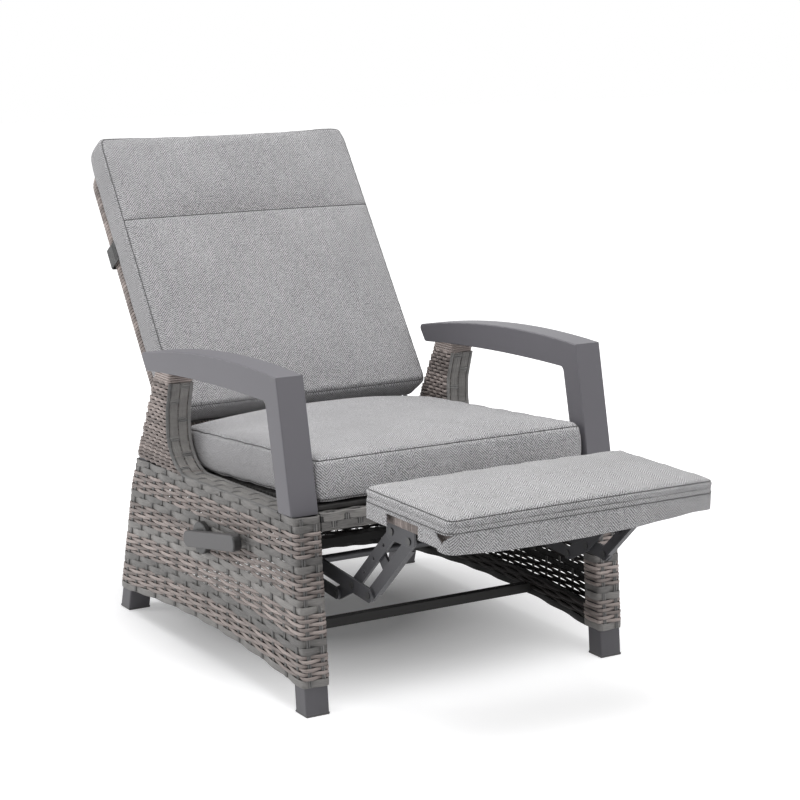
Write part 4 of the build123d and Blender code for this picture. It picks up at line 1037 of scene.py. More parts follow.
# %% Rows and rods of the front beam
BEAM_HALF, BEAM_GAP, BEAM_GAPS = 313.2, 28.45, 22
BEAM_LOOP = (-13.8, 15.8, -43.6, -14.0)
BEAM_ROWS = (
    (-14.4, -20.5, -1, 0), (-14.4, -37.3, -1, 0), (-7.5, -44.2, 0, -1), (9.5, -44.2, 0, -1),
    (16.4, -37.3, 1, 0), (16.4, -20.5, 1, 0), (9.5, -13.4, 0, 1), (-7.5, -13.4, 0, 1),
)
beam_rows = []
for row, (a, h, out_a, out_h) in enumerate(BEAM_ROWS):
    out = seat_frame.along * out_a + seat_frame.out * out_h
    line = []
    for number in range(BEAM_GAPS * ROD_STEPS + 1):
        x = -BEAM_HALF + 2 * BEAM_HALF * number / (BEAM_GAPS * ROD_STEPS)
        line.append((seat_frame.to_world(x, a, h) / mm, out, x / BEAM_GAP + row))
    beam_rows.append((line, random.random()))
beam_rods = []
loop = section_loop(*BEAM_LOOP, 4.0)
for rod in range(-10, 11):
    for beside in ROD_PAIR:
        line = []
        for a, h, out_a, out_h in loop:
            place = seat_frame.to_world(rod * BEAM_GAP + beside, a, h) / mm
            line.append((place, seat_frame.along * out_a + seat_frame.out * out_h, 0.5))
        beam_rods.append((line, random.random()))
join("woven_beam", [
    weave("beam_rows", beam_rows, wide_finish, 17.0, 1.4, 1.4, 0.45, 10),
    weave("beam_rods", beam_rods, rod_finish, 3.8, 2.2, 0.0, 0.9, 6),
], "base", "wicker", "beam_wrap")

# %% [markdown]
# ## Woven back and footrest frame
# Both are a ring of tube with a field of weave in it. The ring is wound round with narrow strands,
# which show as fine ribs at the edge; the field of the back is woven on the front and on the rear,
# that of the footrest on one face.

# %% Woven back
BACK_HALF, BACK_LOW, BACK_HIGH, BACK_CORNER = 303.0, 68.0, 742.0, 60.0
BACK_EDGE, BACK_ROD_GAP = 27, 29.5
BACK_INSET, BACK_WRAP_GAP = 1.6, 7.6
BACK_TUBE, BACK_TUBE_LOW, BACK_TUBE_HIGH, BACK_TUBE_ROUND = 28.0, -30.4, -1.6, 7.0
BACK_FACES = ((-28.8, -1), (-3.0, 1))
FIELD_INSET, FIELD_CORNER = 26, 34.0
HINGE_TOP, HINGE_INNER = 106, 285


def back_half(s):
    """Half width of the field between the wrapped edges of the back, less in its round corners."""
    half = BACK_HALF - FIELD_INSET
    from_end = min(s - (BACK_LOW + FIELD_INSET), BACK_HIGH - FIELD_INSET - s)
    inside = FIELD_CORNER - from_end
    if inside <= 0:
        return half
    return half - FIELD_CORNER + sqrt(max(FIELD_CORNER ** 2 - inside ** 2, 0.0))


def clear_of_hinge(x, s):
    """Places of the ring that no hinge bracket covers."""
    return s > HINGE_TOP or abs(x) < HINGE_INNER


outline = ring_outline(
    BACK_HALF - BACK_INSET, BACK_LOW + BACK_INSET, BACK_HIGH - BACK_INSET, BACK_CORNER - BACK_INSET,
    BACK_WRAP_GAP)
wraps = ring_wraps(
    back_frame, outline, BACK_TUBE, BACK_TUBE_LOW, BACK_TUBE_HIGH, BACK_TUBE_ROUND, clear_of_hinge)
back_parts = [weave("back_wraps", wraps, narrow_finish, 7.0, 3.0, 0.0, 0.9, 6)]
sizes, factor = row_sizes(BACK_HIGH - BACK_LOW - 2 * BACK_EDGE, 8, False)
for h, facing in BACK_FACES:
    field = (back_frame, h, facing, BACK_ROD_GAP)
    rows = field_rows(*field, sizes, BACK_LOW + BACK_EDGE, back_half, steps=4)
    rods = field_rods(*field, BACK_LOW + BACK_EDGE, BACK_HIGH - BACK_EDGE, back_half)
    back_parts += weave_field("back", rows, rods, factor)
join("woven_back", back_parts, "back", "wicker", "back_wicker")

# %% Woven footrest frame
FOOT_HALF, FOOT_LOW, FOOT_HIGH, FOOT_CORNER = 281.7, 4.3, 290.7, 16.5
FOOT_EDGE, FOOT_ROD_GAP, FOOT_FACE = 17.0, 27.9, -24.0
FOOT_INSET, FOOT_WRAP_GAP = 1.0, 6.2
FOOT_TUBE, FOOT_TUBE_LOW, FOOT_TUBE_HIGH, FOOT_TUBE_ROUND = 19.0, -25.0, -1.3, 4.0


def foot_half(s):
    """Half width of the field between the wrapped edges of the footrest."""
    return FOOT_HALF - FOOT_EDGE


outline = ring_outline(
    FOOT_HALF - FOOT_INSET, FOOT_LOW + FOOT_INSET, FOOT_HIGH - FOOT_INSET, FOOT_CORNER - FOOT_INSET,
    FOOT_WRAP_GAP)
wraps = ring_wraps(foot_frame, outline, FOOT_TUBE, FOOT_TUBE_LOW, FOOT_TUBE_HIGH, FOOT_TUBE_ROUND)
foot_parts = [weave("foot_wraps", wraps, narrow_finish, 5.7, 2.0, 0.0, 0.9, 6)]
sizes, factor = row_sizes(FOOT_HIGH - FOOT_LOW - 2 * FOOT_EDGE, 3)
field = (foot_frame, FOOT_FACE, -1, FOOT_ROD_GAP)
rows = field_rows(*field, sizes, FOOT_LOW + FOOT_EDGE, foot_half)
rods = field_rods(*field, FOOT_LOW + FOOT_EDGE, FOOT_HIGH - FOOT_EDGE, foot_half)
foot_parts += weave_field("foot", rows, rods, factor, 0.75)
join("woven_footrest", foot_parts, "footrest", "wicker", "footrest_wicker")

# %% [markdown]
# ## Fabric finish
# The covers are a two-tone herringbone twill: columns about 18 mm wide whose diagonal ribs turn
# round from one column to the next. Cloth must carry its pattern with it, so the pattern reads a
# UV map in metres that each cushion gets after it is shaped, face by face, along its threads.


# %% Finish of the twill covers
RIB, COLUMN, THREAD_PITCH = 0.0056, 0.0180, 0.0016


def twill_finish(name, dark, light):
    """Herringbone twill from a UV map in metres, with flecks and a fine thread relief."""
    finish, tree, shader = new_finish(name)
    uv = node(tree, "ShaderNodeUVMap", uv_map="cloth").outputs[0]
    u, v, _ = node(tree, "ShaderNodeSeparateXYZ", {0: uv}).outputs
    columns = math(tree, "DIVIDE", u, COLUMN)
    side_of = math(tree, "MODULO", math(tree, "FLOOR", math(tree, "ADD", columns, 400.0)), 2.0)
    sign = math(tree, "MULTIPLY_ADD", side_of, 2.0, -1.0)
    slant = math(tree, "MULTIPLY_ADD", u, sign, v)
    ribs = math(tree, "SINE", math(tree, "MULTIPLY", slant, 2 * pi / RIB))
    threads = math(tree, "SINE", math(tree, "MULTIPLY", u, 2 * pi / THREAD_PITCH))
    picks = math(tree, "SINE", math(tree, "MULTIPLY", v, 2 * pi / THREAD_PITCH))
    fleck = object_noise(tree, 520.0, 1.0)
    clouds = object_noise(tree, 9.0, 3.0)
    weave_height = math(tree, "MULTIPLY_ADD", math(tree, "MULTIPLY", threads, picks), 0.35, ribs)
    tone = math(tree, "MULTIPLY_ADD", weave_height, 0.42, 0.5)
    tone = math(tree, "MULTIPLY_ADD", math(tree, "SUBTRACT", fleck, 0.5), 2.2, tone)
    tone = math(tree, "MULTIPLY_ADD", math(tree, "SUBTRACT", clouds, 0.5), 0.25, tone)
    limited = node(tree, "ShaderNodeClamp", {0: tone}).outputs[0]
    tree.links.new(blend_colours(tree, limited, dark, light), shader.inputs["Base Color"])
    set_shader(shader, Roughness=0.92, Specular_IOR_Level=0.2, Sheen_Weight=0.25, Sheen_Roughness=0.5)
    raise_surface(tree, shader, weave_height, 0.45, 0.0005)
    print("finish", name)
    return finish


twill = twill_finish("twill_grey", grey(0.42, 0.003, 0.007), grey(0.885, 0.004, 0.008))
# Painted shade: the back cushion gets a copy of the same twill about 6% darker, for the weaker light on the
# back.
twill_back_painted_shade = twill_finish("twill_back_grey", grey(0.395, 0.003, 0.007), grey(0.83, 0.004, 0.008))
twill_light = twill_finish("twill_light_grey", grey(0.43, 0.003, 0.006), grey(0.89, 0.004, 0.006))


# %% Finish of the sewing thread
def thread_finish():
    """Dark sewing thread with a twist."""
    finish, tree, shader = new_finish("sewing_thread")
    fuzz = object_noise(tree, 700.0, 2.0)
    tree.links.new(blend_colours(tree, fuzz, grey(0.26), grey(0.44)), shader.inputs["Base Color"])
    set_shader(shader, Roughness=0.8)
    raise_surface(tree, shader, fuzz, 0.4, 0.0003)
    return finish


thread = thread_finish()
print("finish", thread.name)

# %% [markdown]
# ## Plump cushions by cloth simulation
# A stuffed cushion is a cover under pressure from inside. Each one starts as a slightly smaller
# copy of the measured block, is remeshed into even squares and blown up as cloth for twenty
# frames, with its sewn edges held. How far a point may move is limited for each direction, so that
# a cushion fills out where it is free and stays flat where it lies on the frame.


# %% Seam lines
SEAM_GAP = 4.0


def seam_loop(half, low, high, h, corner):
    """Closed seam at one level: a rectangle with round corners, sampled every few millimetres."""
    turns = corner_turns(-half, half, low, high, corner, range(0, 91, 15))
    points = [(cx + corner * cos(angle), cs + corner * sin(angle)) for cx, cs, angle in turns]
    dense = []
    for (x0, s0), (x1, s1) in zip(points, points[1:] + points[:1]):
        count = max(1, round(hypot(x1 - x0, s1 - s0) / SEAM_GAP))
        for number in range(count):
            share = number / count
            dense.append((x0 + (x1 - x0) * share, s0 + (s1 - s0) * share, h))
    return dense


print("points of a seam round 600 by 600 mm:", len(seam_loop(300, 0, 600, 0, 14)))

# %% Blow a cover up as cloth
SWELL_FRAMES, HELD_BESIDE_SEAM = 20, 0.006
CLOTH_SETTINGS = {
    "quality": 4, "mass": 0.25, "tension_stiffness": 6, "compression_stiffness": 6,
    "shear_stiffness": 3, "bending_stiffness": 0.3, "use_pressure": True,
    "uniform_pressure_force": 4.0, "vertex_group_mass": "sewn",
}


def swell(piece, base_points, local, caps, seams):
    """Blow the cover up as cloth with its seams held; caps limit the move in each direction."""
    held = piece.vertex_groups.new(name="sewn")
    for index, point in enumerate(base_points):
        if min(tree.find(point)[2] for tree in seams) < HELD_BESIDE_SEAM:
            held.add([index], 1.0, "ADD")
    cloth = piece.modifiers.new("swell", "CLOTH")
    for label, value in CLOTH_SETTINGS.items():
        setattr(cloth.settings, label, value)
    cloth.settings.effector_weights.gravity = 0
    cloth.point_cache.frame_start = 1
    cloth.point_cache.frame_end = SWELL_FRAMES
    for number in range(1, SWELL_FRAMES + 1):
        bpy.context.scene.frame_set(number)
    mesh = evaluated_mesh(piece)
    moved = [vertex.co.copy() for vertex in mesh.vertices]
    piece.modifiers.remove(cloth)
    bpy.context.scene.frame_set(1)
    low, high = caps
    for vertex, start, end in zip(piece.data.vertices, base_points, moved):
        shift = local.direction(end - start)
        kept = Vector([min(max(shift[axis], low[axis] * mm), high[axis] * mm) for axis in range(3)])
        vertex.co = start + local.world_vector(kept)
    bpy.data.meshes.remove(mesh)


print("a cover swells for", SWELL_FRAMES, "frames")


# %% Even out a cover and give it a map of its threads
def smooth_points(mesh, rounds):
    """Even out small steps of the remeshed cover."""
    work = bmesh.new()
    work.from_mesh(mesh)
    axes = {"use_axis_x": True, "use_axis_y": True, "use_axis_z": True}
    for _ in range(rounds):
        bmesh.ops.smooth_vert(work, verts=work.verts, factor=0.5, **axes)
    work.to_mesh(mesh)
    work.free()


def cloth_uv(mesh, local):
    """UV map in metres along the threads, chosen by the way each face looks."""
    layer = mesh.uv_layers.new(name="cloth")
    for face in mesh.polygons:
        facing = local.direction(face.normal)
        sizes = [abs(facing.x), abs(facing.y), abs(facing.z)]
        main = sizes.index(max(sizes))
        for loop in face.loop_indices:
            x, s, h = local.to_local(mesh.vertices[mesh.loops[loop].vertex_index].co)
            layer.data[loop].uv = ((s, h), (x, h), (x, s))[main]
    print("map of threads on", len(mesh.polygons), "faces")


# %% Start from the measured block
def measured_block(name, source, local, cut=None):
    """Copy of a measured solid, or of the part of it above a cut."""
    work = bmesh.new()
    work.from_mesh(frame["nodes"][source].data)
    bmesh.ops.remove_doubles(work, verts=work.verts, dist=0.00002)
    if cut is not None:
        everything = list(work.verts) + list(work.edges) + list(work.faces)
        sliced = bmesh.ops.bisect_plane(
            work, geom=everything, plane_co=local.to_world(0, 0, cut), plane_no=local.out,
            clear_inner=True, clear_outer=False,
        )
        rim = [item for item in sliced["geom_cut"] if isinstance(item, bmesh.types.BMEdge)]
        bmesh.ops.triangle_fill(work, edges=rim, use_beauty=True)
    bmesh.ops.recalc_face_normals(work, faces=work.faces)
    mesh = bpy.data.meshes.new(name)
    work.to_mesh(mesh)
    work.free()
    print(name, len(mesh.polygons), "faces")
    return mesh


def resizer(points, growth, slide):
    """Function that moves a place of a block, in millimetres, as its sides grow and it slides."""
    low = [min(point[axis] for point in points) for axis in range(3)]
    high = [max(point[axis] for point in points) for axis in range(3)]
    middle = [(low[axis] + high[axis]) / 2 for axis in range(3)]
    half = [(high[axis] - low[axis]) / 2 for axis in range(3)]

    def resized(point):
        """The place after growth and slide."""
        grown = [
            middle[axis] + (point[axis] * mm - middle[axis]) * (1 + growth[axis] * mm / half[axis])
            for axis in range(3)
        ]
        return grown[0] / mm, grown[1] / mm + slide, grown[2] / mm

    return resized


# %% [markdown]
# ## Sewn seams
# A seam pulls the cloth in, and the cloth beside it puckers in small waves. The nearest place on a
# seam tells each point how far to sink and where it is in the wave. The thread itself is a thin
# strand from the weaving tree that lies in the groove.

# %% Sink the seams into the cloth
SEAM_SINK, SEAM_REACH, THREAD_SINK, THREAD_WIDTH = 0.0028, 0.0042, 0.0016, 1.5
PUCKER, PUCKER_PLACE, PUCKER_SPREAD, PUCKER_LENGTH = 0.0007, 0.012, 0.008, 0.0125
FAR_FROM_SEAM = 0.03


def point_tree(points):
    """Search tree over places in metres."""
    tree = KDTree(len(points))
    for index, point in enumerate(points):
        tree.insert(point, index)
    tree.balance()
    return tree


def sew_seams(piece, local, seams):
    """Pull each seam into the cover, pucker the cloth beside it and return the sunk seam lines."""
    mesh = piece.data
    surface = BVHTree.FromPolygons([v.co for v in mesh.vertices], [f.vertices for f in mesh.polygons])
    lines = [[surface.find_nearest(local.to_world(*spot))[:2] for spot in loop] for loop in seams]
    finder = point_tree([place for line in lines for place, _ in line])
    starts = [(vertex.co.copy(), vertex.normal.copy()) for vertex in mesh.vertices]
    moved = []
    for point, normal in starts:
        _, index, distance = finder.find(point)
        shift = 0.0
        if distance < FAR_FROM_SEAM:
            pull = SEAM_SINK * exp(-(distance / SEAM_REACH) ** 2)
            beside = exp(-((distance - PUCKER_PLACE) / PUCKER_SPREAD) ** 2)
            along_seam = index * SEAM_GAP * mm / PUCKER_LENGTH
            shift = pull + PUCKER * beside * sin(along_seam + 1.7 * noise(point * 30))
        moved.extend(point - normal * shift)
    mesh.vertices.foreach_set("co", moved)
    mesh.update()
    return [[(place - normal * THREAD_SINK, normal) for place, normal in line] for line in lines]


print("a seam sinks", SEAM_SINK / mm, "mm into the cloth")


# %% From block to cushion
def apply_modifier(piece, label, kind, **settings):
    """Replace the mesh of a piece by what one modifier makes of it."""
    modifier = piece.modifiers.new(label, kind)
    for name, value in settings.items():
        setattr(modifier, name, value)
    result = evaluated_mesh(piece)
    piece.modifiers.remove(modifier)
    piece.data = result
    return result


def make_cushion(name, mesh, local, finish, seams, caps, growth, slide=0.0, voxel=7.0):
    """A plump cushion from a measured block: resize, remesh, swell, subdivide, sew and map.

    Growth is what each side of the block gains before it swells, and slide moves it along."""
    points = [local.to_local(vertex.co) for vertex in mesh.vertices]
    resized = resizer(points, growth, slide)
    for vertex, point in zip(mesh.vertices, points):
        vertex.co = local.to_world(*resized(point / mm))
    seams = [[resized(spot) for spot in loop] for loop in seams]
    piece = bpy.data.objects.new(name, mesh)
    bpy.context.collection.objects.link(piece)
    even = apply_modifier(piece, "even", "REMESH", mode="VOXEL", voxel_size=voxel * mm)
    smooth_points(even, 2)
    seam_trees = [point_tree([local.to_world(*spot) for spot in loop]) for loop in seams]
    base = [vertex.co.copy() for vertex in even.vertices]
    swell(piece, base, local, caps, seam_trees)
    smooth_points(even, 2)
    fine = apply_modifier(piece, "divide", "SUBSURF", levels=1, render_levels=1)
    sewn = sew_seams(piece, local, seams)
    cloth_uv(fine, local)
    fine.materials.clear()
    fine.materials.append(finish)
    for face in fine.polygons:
        face.use_smooth = True
    print(name, len(fine.polygons), "faces,", len(sewn), "seams")
    return piece, sewn


# %% Sewing thread, and the cushion's place in the chair
def seam_strands(name, sewn):
    """Sewn seams as thin strands that lie in their grooves."""
    lines = []
    for line in sewn:
        closed = line + line[:1]
        lines.append(([(place / mm, normal, 0.5) for place, normal in closed], 0.5))
    return weave(name, lines, thread, THREAD_WIDTH, THREAD_WIDTH, 0.0, 1.0, 6)


def finish_cushion(piece, sewn, body, slot, fill, *nodes):
    strands = seam_strands(piece.name + "_seams", sewn)
    work = bmesh.new()
    work.from_mesh(piece.data)
    count = len(work.faces)
    work.from_mesh(strands)
    work.faces.ensure_lookup_table()
    for face in work.faces[count:]:
        face.material_index = 1
    work.to_mesh(piece.data)
    work.free()
    piece.data.materials.append(thread)
    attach(piece, body)
    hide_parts(*nodes)


# %% [markdown]
# ## Seat cushion
# A box cushion with a seam round its top and one round its bottom. It may swell most upwards, a
# little to the sides, front and rear, and hardly at all downwards, where it rests on the deck.

# %% Seat cushion
SEAT_HALF, SEAT_LOW, SEAT_HIGH, SEAT_ROUND = 307.5, 1.0, 597.0, 14.0
SEAT_LEVELS = (91.0, 2.0)
seat_seams = [seam_loop(SEAT_HALF, SEAT_LOW, SEAT_HIGH, level, SEAT_ROUND) for level in SEAT_LEVELS]
seat_block = measured_block("seat_block", "seat_cushion", seat_frame)
seat_caps = ((-3.0, -3.0, -0.5), (3.0, 6.0, 16.0))
seat_pad, sewn = make_cushion(
    "seat_cushion_cover", seat_block, seat_frame, twill, seat_seams, seat_caps,
    growth=(1.0, -2.0, -2.0))
finish_cushion(seat_pad, sewn, "base", "fabric", 0.8, "seat_cushion")

# %% [markdown]
# ## Back cushion
# The back cushion has a headrest: one seam across its front is sewn through, so the cover dips
# there and swells above and below. The same maker shapes it in the plane of the leaning back.

# %% Back cushion
PAD_HALF, PAD_LOW, PAD_HIGH, PAD_ROUND = 306.0, 88.0, 750.0, 16.0
PAD_LEVELS, HEAD_SEAM, HEAD_LEVEL = (88.0, 2.0), 539.0, 91.0
head_count = round(2 * PAD_HALF / SEAM_GAP) + 1
head_line = [(-PAD_HALF + SEAM_GAP * number, HEAD_SEAM, HEAD_LEVEL) for number in range(head_count)]
back_seams = [seam_loop(PAD_HALF, PAD_LOW, PAD_HIGH, level, PAD_ROUND) for level in PAD_LEVELS]
back_seams.append(head_line)
back_block = measured_block("back_block", "back_cushion", back_frame)
back_caps = ((-2.5, -6.0, -0.5), (2.5, 6.0, 16.0))
back_pad, sewn = make_cushion(
    "back_cushion_cover", back_block, back_frame, twill_back_painted_shade, back_seams, back_caps,
    growth=(4.5, 3.0, -2.0), slide=8.0)
finish_cushion(back_pad, sewn, "back", "fabric", 0.8, "back_cushion")

# %% [markdown]
# ## Footrest cushion
# Its cover has a pocket that is pulled over the woven frame: below the pad hangs a skirt with a
# long cut-out on each side, where the linkage passes, and a small notch at each front corner. The
# pad is shaped like the other cushions; the skirt is a thin cloth wall with a slightly wavy hem.

# %% Footrest pad
REST_HALF, REST_LOW, REST_HIGH, REST_LEVEL, REST_ROUND = 284.0, 2.0, 293.0, 30.0, 14.0
REST_CUT = 0.4
foot_seams = [seam_loop(REST_HALF, REST_LOW, REST_HIGH, REST_LEVEL, REST_ROUND)]
foot_block = measured_block("foot_block", "footrest_cushion", foot_frame, REST_CUT)
foot_caps = ((-2.5, -2.5, -0.3), (2.5, 2.5, 14.0))
foot_pad, sewn = make_cushion(
    "footrest_cushion_cover", foot_block, foot_frame, twill_light, foot_seams, foot_caps,
    growth=(8.0, 0.4, -0.4), voxel=6.0)

# %% [markdown]
# ## Pocket of the footrest cover
# The wall of the pocket is thin and has openings with crisp edges, which cloth that swells would
# round off. So it is laid out as a sheet of small cells round the frame, cells that lie in an
# opening are left out, and the borders that this leaves are closed between the two skins.

# %% Outline and seam of the pocket
SKIRT_TOP, SKIRT_LOW, SEAM_LEVEL = 13.0, -27.0, 4.6
THREAD_PROUD = 0.3
POCKET_HALF, POCKET_LOW, POCKET_HIGH, POCKET_ROUND, POCKET_GAP = 293.6, 0.8, 294.2, 22.0, 1.9
pocket_outline = ring_outline(POCKET_HALF, POCKET_LOW, POCKET_HIGH, POCKET_ROUND, POCKET_GAP)
pocket_seam = []
for x, s, in_x, in_s in pocket_outline:
    outwards = foot_frame.world_vector(Vector((-in_x, -in_s, 0)))
    place = foot_frame.to_world(x - THREAD_PROUD * in_x, s - THREAD_PROUD * in_s, SEAM_LEVEL)
    pocket_seam.append((place, outwards))
sewn.append(pocket_seam)
print("points round the pocket:", len(pocket_outline))

# %% Form of the pocket's wall
SKIRT_LEVELS, CLOTH_THICKNESS = 24, 2.2
BELLY_DROP, BELLY_IN, BELLY_MIDDLE, BELLY_REACH = 16.0, 7.0, -60.0, 300.0
FRONT_END, SIDE_START = 40.0, 262
ROUNDS_MIDDLE, ROUNDS_HALF, ROUNDS_TOP = 155.0, 55.0, -2.0
NOTCH_MIDDLE, NOTCH_HALF, NOTCH_DEPTH, NOTCH_TOP = 25.0, 20.0, 15.0, 0.5


def skirt_place(x, s, in_x, in_s, h, inset):
    """A point of the wall: tucked in at the seam, wavy at the hem and sagging along the front."""
    low = min(max(-h / 26.0, 0.0), 1.0)
    over_seam = h - SEAM_LEVEL
    tuck = 0.25 * max(over_seam, 0.0) + 0.7 * exp(-(over_seam / 1.8) ** 2)
    flare = 1.3 * low * noise(Vector((x * 0.028, s * 0.028, 0.3))) - inset - tuck
    belly = 0.0
    if s < FRONT_END:
        belly = max(1 - ((x - BELLY_MIDDLE) / BELLY_REACH) ** 2, 0.0)
    wave = 1.2 * noise(Vector((x * 0.014, s * 0.014, 4.0)))
    drop = low ** 2 * (BELLY_DROP * belly + wave)
    flare -= BELLY_IN * belly * low ** 2
    return foot_frame.to_world(x - in_x * flare, s - in_s * flare, h - drop)


def skirt_open(x, s, h):
    """Where the wall of the pocket is cut away: the side openings and the notches."""
    if abs(x) < SIDE_START:
        return False
    beside_rounds = abs(s - ROUNDS_MIDDLE) < ROUNDS_HALF and h < ROUNDS_TOP
    notch_half = NOTCH_HALF * (h + NOTCH_DEPTH) / NOTCH_DEPTH
    notch = s < 2 * NOTCH_MIDDLE and h < NOTCH_TOP and abs(s - NOTCH_MIDDLE) < notch_half
    return beside_rounds or notch


print("side opening of the pocket:", 2 * ROUNDS_HALF, "mm long")


# %% Build the pocket's wall
def make_skirt():
    """The hanging wall of the pocket, laid out cell by cell, as two skins with closed borders."""
    step_down = SKIRT_LOW - SKIRT_TOP
    levels = [SKIRT_TOP + step_down * number / (SKIRT_LEVELS - 1) for number in range(SKIRT_LEVELS)]
    work = bmesh.new()
    skins = []
    for inset in (0.0, CLOTH_THICKNESS):
        skins.append([
            [work.verts.new(skirt_place(*place, h, inset)) for h in levels] for place in pocket_outline
        ])
    total = len(pocket_outline)
    kept = set()
    for index, (x, s, _, _) in enumerate(pocket_outline):
        for level in range(len(levels) - 1):
            if not skirt_open(x, s, (levels[level] + levels[level + 1]) / 2):
                kept.add((index, level))
    outer, inner = skins
    for index, level in sorted(kept):
        following = (index + 1) % total
        cell = ((index, level), (following, level), (following, level + 1), (index, level + 1))
        for columns, order in ((outer, -1), (inner, 1)):
            work.faces.new([columns[column][row] for column, row in cell[::order]])
        borders = (
            ((index - 1) % total, level, cell[0], cell[3]),
            (following, level, cell[1], cell[2]),
            (index, level - 1, cell[0], cell[1]),
            (index, level + 1, cell[3], cell[2]),
        )
        for near_index, near_level, first, second in borders:
            if (near_index, near_level) not in kept:
                work.faces.new([
                    outer[first[0]][first[1]], outer[second[0]][second[1]],
                    inner[second[0]][second[1]], inner[first[0]][first[1]],
                ])
    loose = [vert for vert in work.verts if not vert.link_faces]
    bmesh.ops.delete(work, geom=loose, context="VERTS")
    bmesh.ops.recalc_face_normals(work, faces=work.faces)
    skirt = bpy.data.meshes.new("foot_skirt")
    work.to_mesh(skirt)
    work.free()
    cloth_uv(skirt, foot_frame)
    for face in skirt.polygons:
        face.use_smooth = True
    print("wall of the pocket:", len(skirt.polygons), "faces")
    return skirt


# %% Put pad and pocket together
work = bmesh.new()
work.from_mesh(foot_pad.data)
work.from_mesh(make_skirt())
work.to_mesh(foot_pad.data)
work.free()
finish_cushion(foot_pad, sewn, "footrest", "fabric", 0.8, "footrest_cushion")
print("footrest cover:", len(foot_pad.data.polygons), "faces")

# %% [markdown]
# ## Back strap
# A woven band is sewn to both sides of the back cushion and runs behind the woven back, so that
# the cushion stays in place. It is a flat band that follows the back closely.


# %% Finish of the strap
def webbing_finish():
    """Woven band: fine ribs across it and a twill of two greys."""
    finish, tree, shader = new_finish("webbing_grey")
    across_band = node(tree, "ShaderNodeAttribute", attribute_name="across").outputs["Fac"]
    x, y, z = object_place(tree).outputs
    warp = math(tree, "SINE", math(tree, "MULTIPLY", across_band, 60.0))
    run = math(tree, "ADD", x, math(tree, "ADD", y, z))
    weft = math(tree, "SINE", math(tree, "MULTIPLY", run, 2400.0))
    height = math(tree, "MULTIPLY", warp, weft)
    tone = math(tree, "MULTIPLY_ADD", height, 0.3, object_noise(tree, 300.0, 2.0))
    tree.links.new(blend_colours(tree, tone, grey(0.26), grey(0.52)), shader.inputs["Base Color"])
    set_shader(shader, Roughness=0.9)
    raise_surface(tree, shader, height, 0.5, 0.0005)
    print("finish", finish.name)
    return finish


# %% Line of the strap, and the stitches at its ends
STRAP_SIDE, STRAP_REAR, STRAP_FRONT, STRAP_MIDDLE, STRAP_ROUND = 309.4, -33.8, 16.0, 512.5, 6.0
STITCH_LOW, STITCH_HIGH, STITCH_REAR, STITCH_FRONT = 494, 531, 2, 13
STITCH_ROWS, STITCH_PROUD = (0.0, 2.5), 1.7
strap_points = [(STRAP_SIDE, STRAP_FRONT - 5.0 * number, 1, 0) for number in range(9)]
centre_x, centre_h = STRAP_SIDE - STRAP_ROUND, STRAP_REAR + STRAP_ROUND
for degree in range(0, 91, 15):
    out_x, out_h = cos(radians(-degree)), sin(radians(-degree))
    strap_points.append((centre_x + STRAP_ROUND * out_x, centre_h + STRAP_ROUND * out_h, out_x, out_h))
strap_points += [(x, STRAP_REAR, 0, -1) for x in range(290, 0, -20)]
strap_points += [(-x, h, -out_x, out_h) for x, h, out_x, out_h in reversed(strap_points)]
strap_line = []
for x, h, out_x, out_h in strap_points:
    place = back_frame.to_world(x, STRAP_MIDDLE, h) / mm
    strap_line.append((place, Vector((out_x, 0, 0)) + back_frame.out * out_h, 0.5))
strap_stitches = []
for sign in (-1, 1):
    stitched_x = sign * (STRAP_SIDE + STITCH_PROUD)
    for inset in STITCH_ROWS:
        low_s, high_s = STITCH_LOW + inset, STITCH_HIGH - inset
        low_h, high_h = STITCH_REAR + inset, STITCH_FRONT - inset
        ring = ((low_s, low_h), (high_s, low_h), (high_s, high_h), (low_s, high_h), (low_s, low_h))
        places = [back_frame.to_world(stitched_x, s, h) / mm for s, h in ring]
        strap_stitches.append(([(place, Vector((sign, 0, 0)), 0.5) for place in places], 0.5))
print("points along the strap:", len(strap_points))

# %% Weave the strap
STRAP_WIDTH, STRAP_THICKNESS = 45.0, 3.0
webbing = webbing_finish()
strap_parts = [
    weave("strap_band", [(strap_line, 0.5)], webbing, STRAP_WIDTH, STRAP_THICKNESS, 0.0, 0.25, 24),
    weave("strap_stitches", strap_stitches, thread, 0.9, 0.7, 0.0, 1.0, 6),
]
join("back_cushion_strap", strap_parts, "back", "fabric", "back_strap")

# %% [markdown]
# ## Metal and plastic finishes
# The arms, legs and links keep their measured form and get their surfaces here. Powder coat has a
# fine orange peel and wears to a lighter tone along its edges; zinc and chrome are bare metal; the
# lever and the feet are moulded plastic with a fine grain.


# %% Coated metal and moulded plastic
EDGE_WIDTH, NEARLY_FLAT, SHARP = 0.0012, 0.995, 0.86


def edge_wear(tree):
    """Mask that is high along edges, from the bend between true and rounded normals."""
    soft = node(tree, "ShaderNodeBevel", {"Radius": EDGE_WIDTH}, samples=4).outputs[0]
    true = node(tree, "ShaderNodeNewGeometry").outputs["Normal"]
    cosine = node(tree, "ShaderNodeVectorMath", {0: soft, 1: true}, operation="DOT_PRODUCT")
    bend_range = {0: cosine.outputs["Value"], 1: NEARLY_FLAT, 2: SHARP}
    bent = node(tree, "ShaderNodeMapRange", bend_range).outputs[0]
    return math(tree, "MULTIPLY", bent, object_noise(tree, 60.0, 4.0))


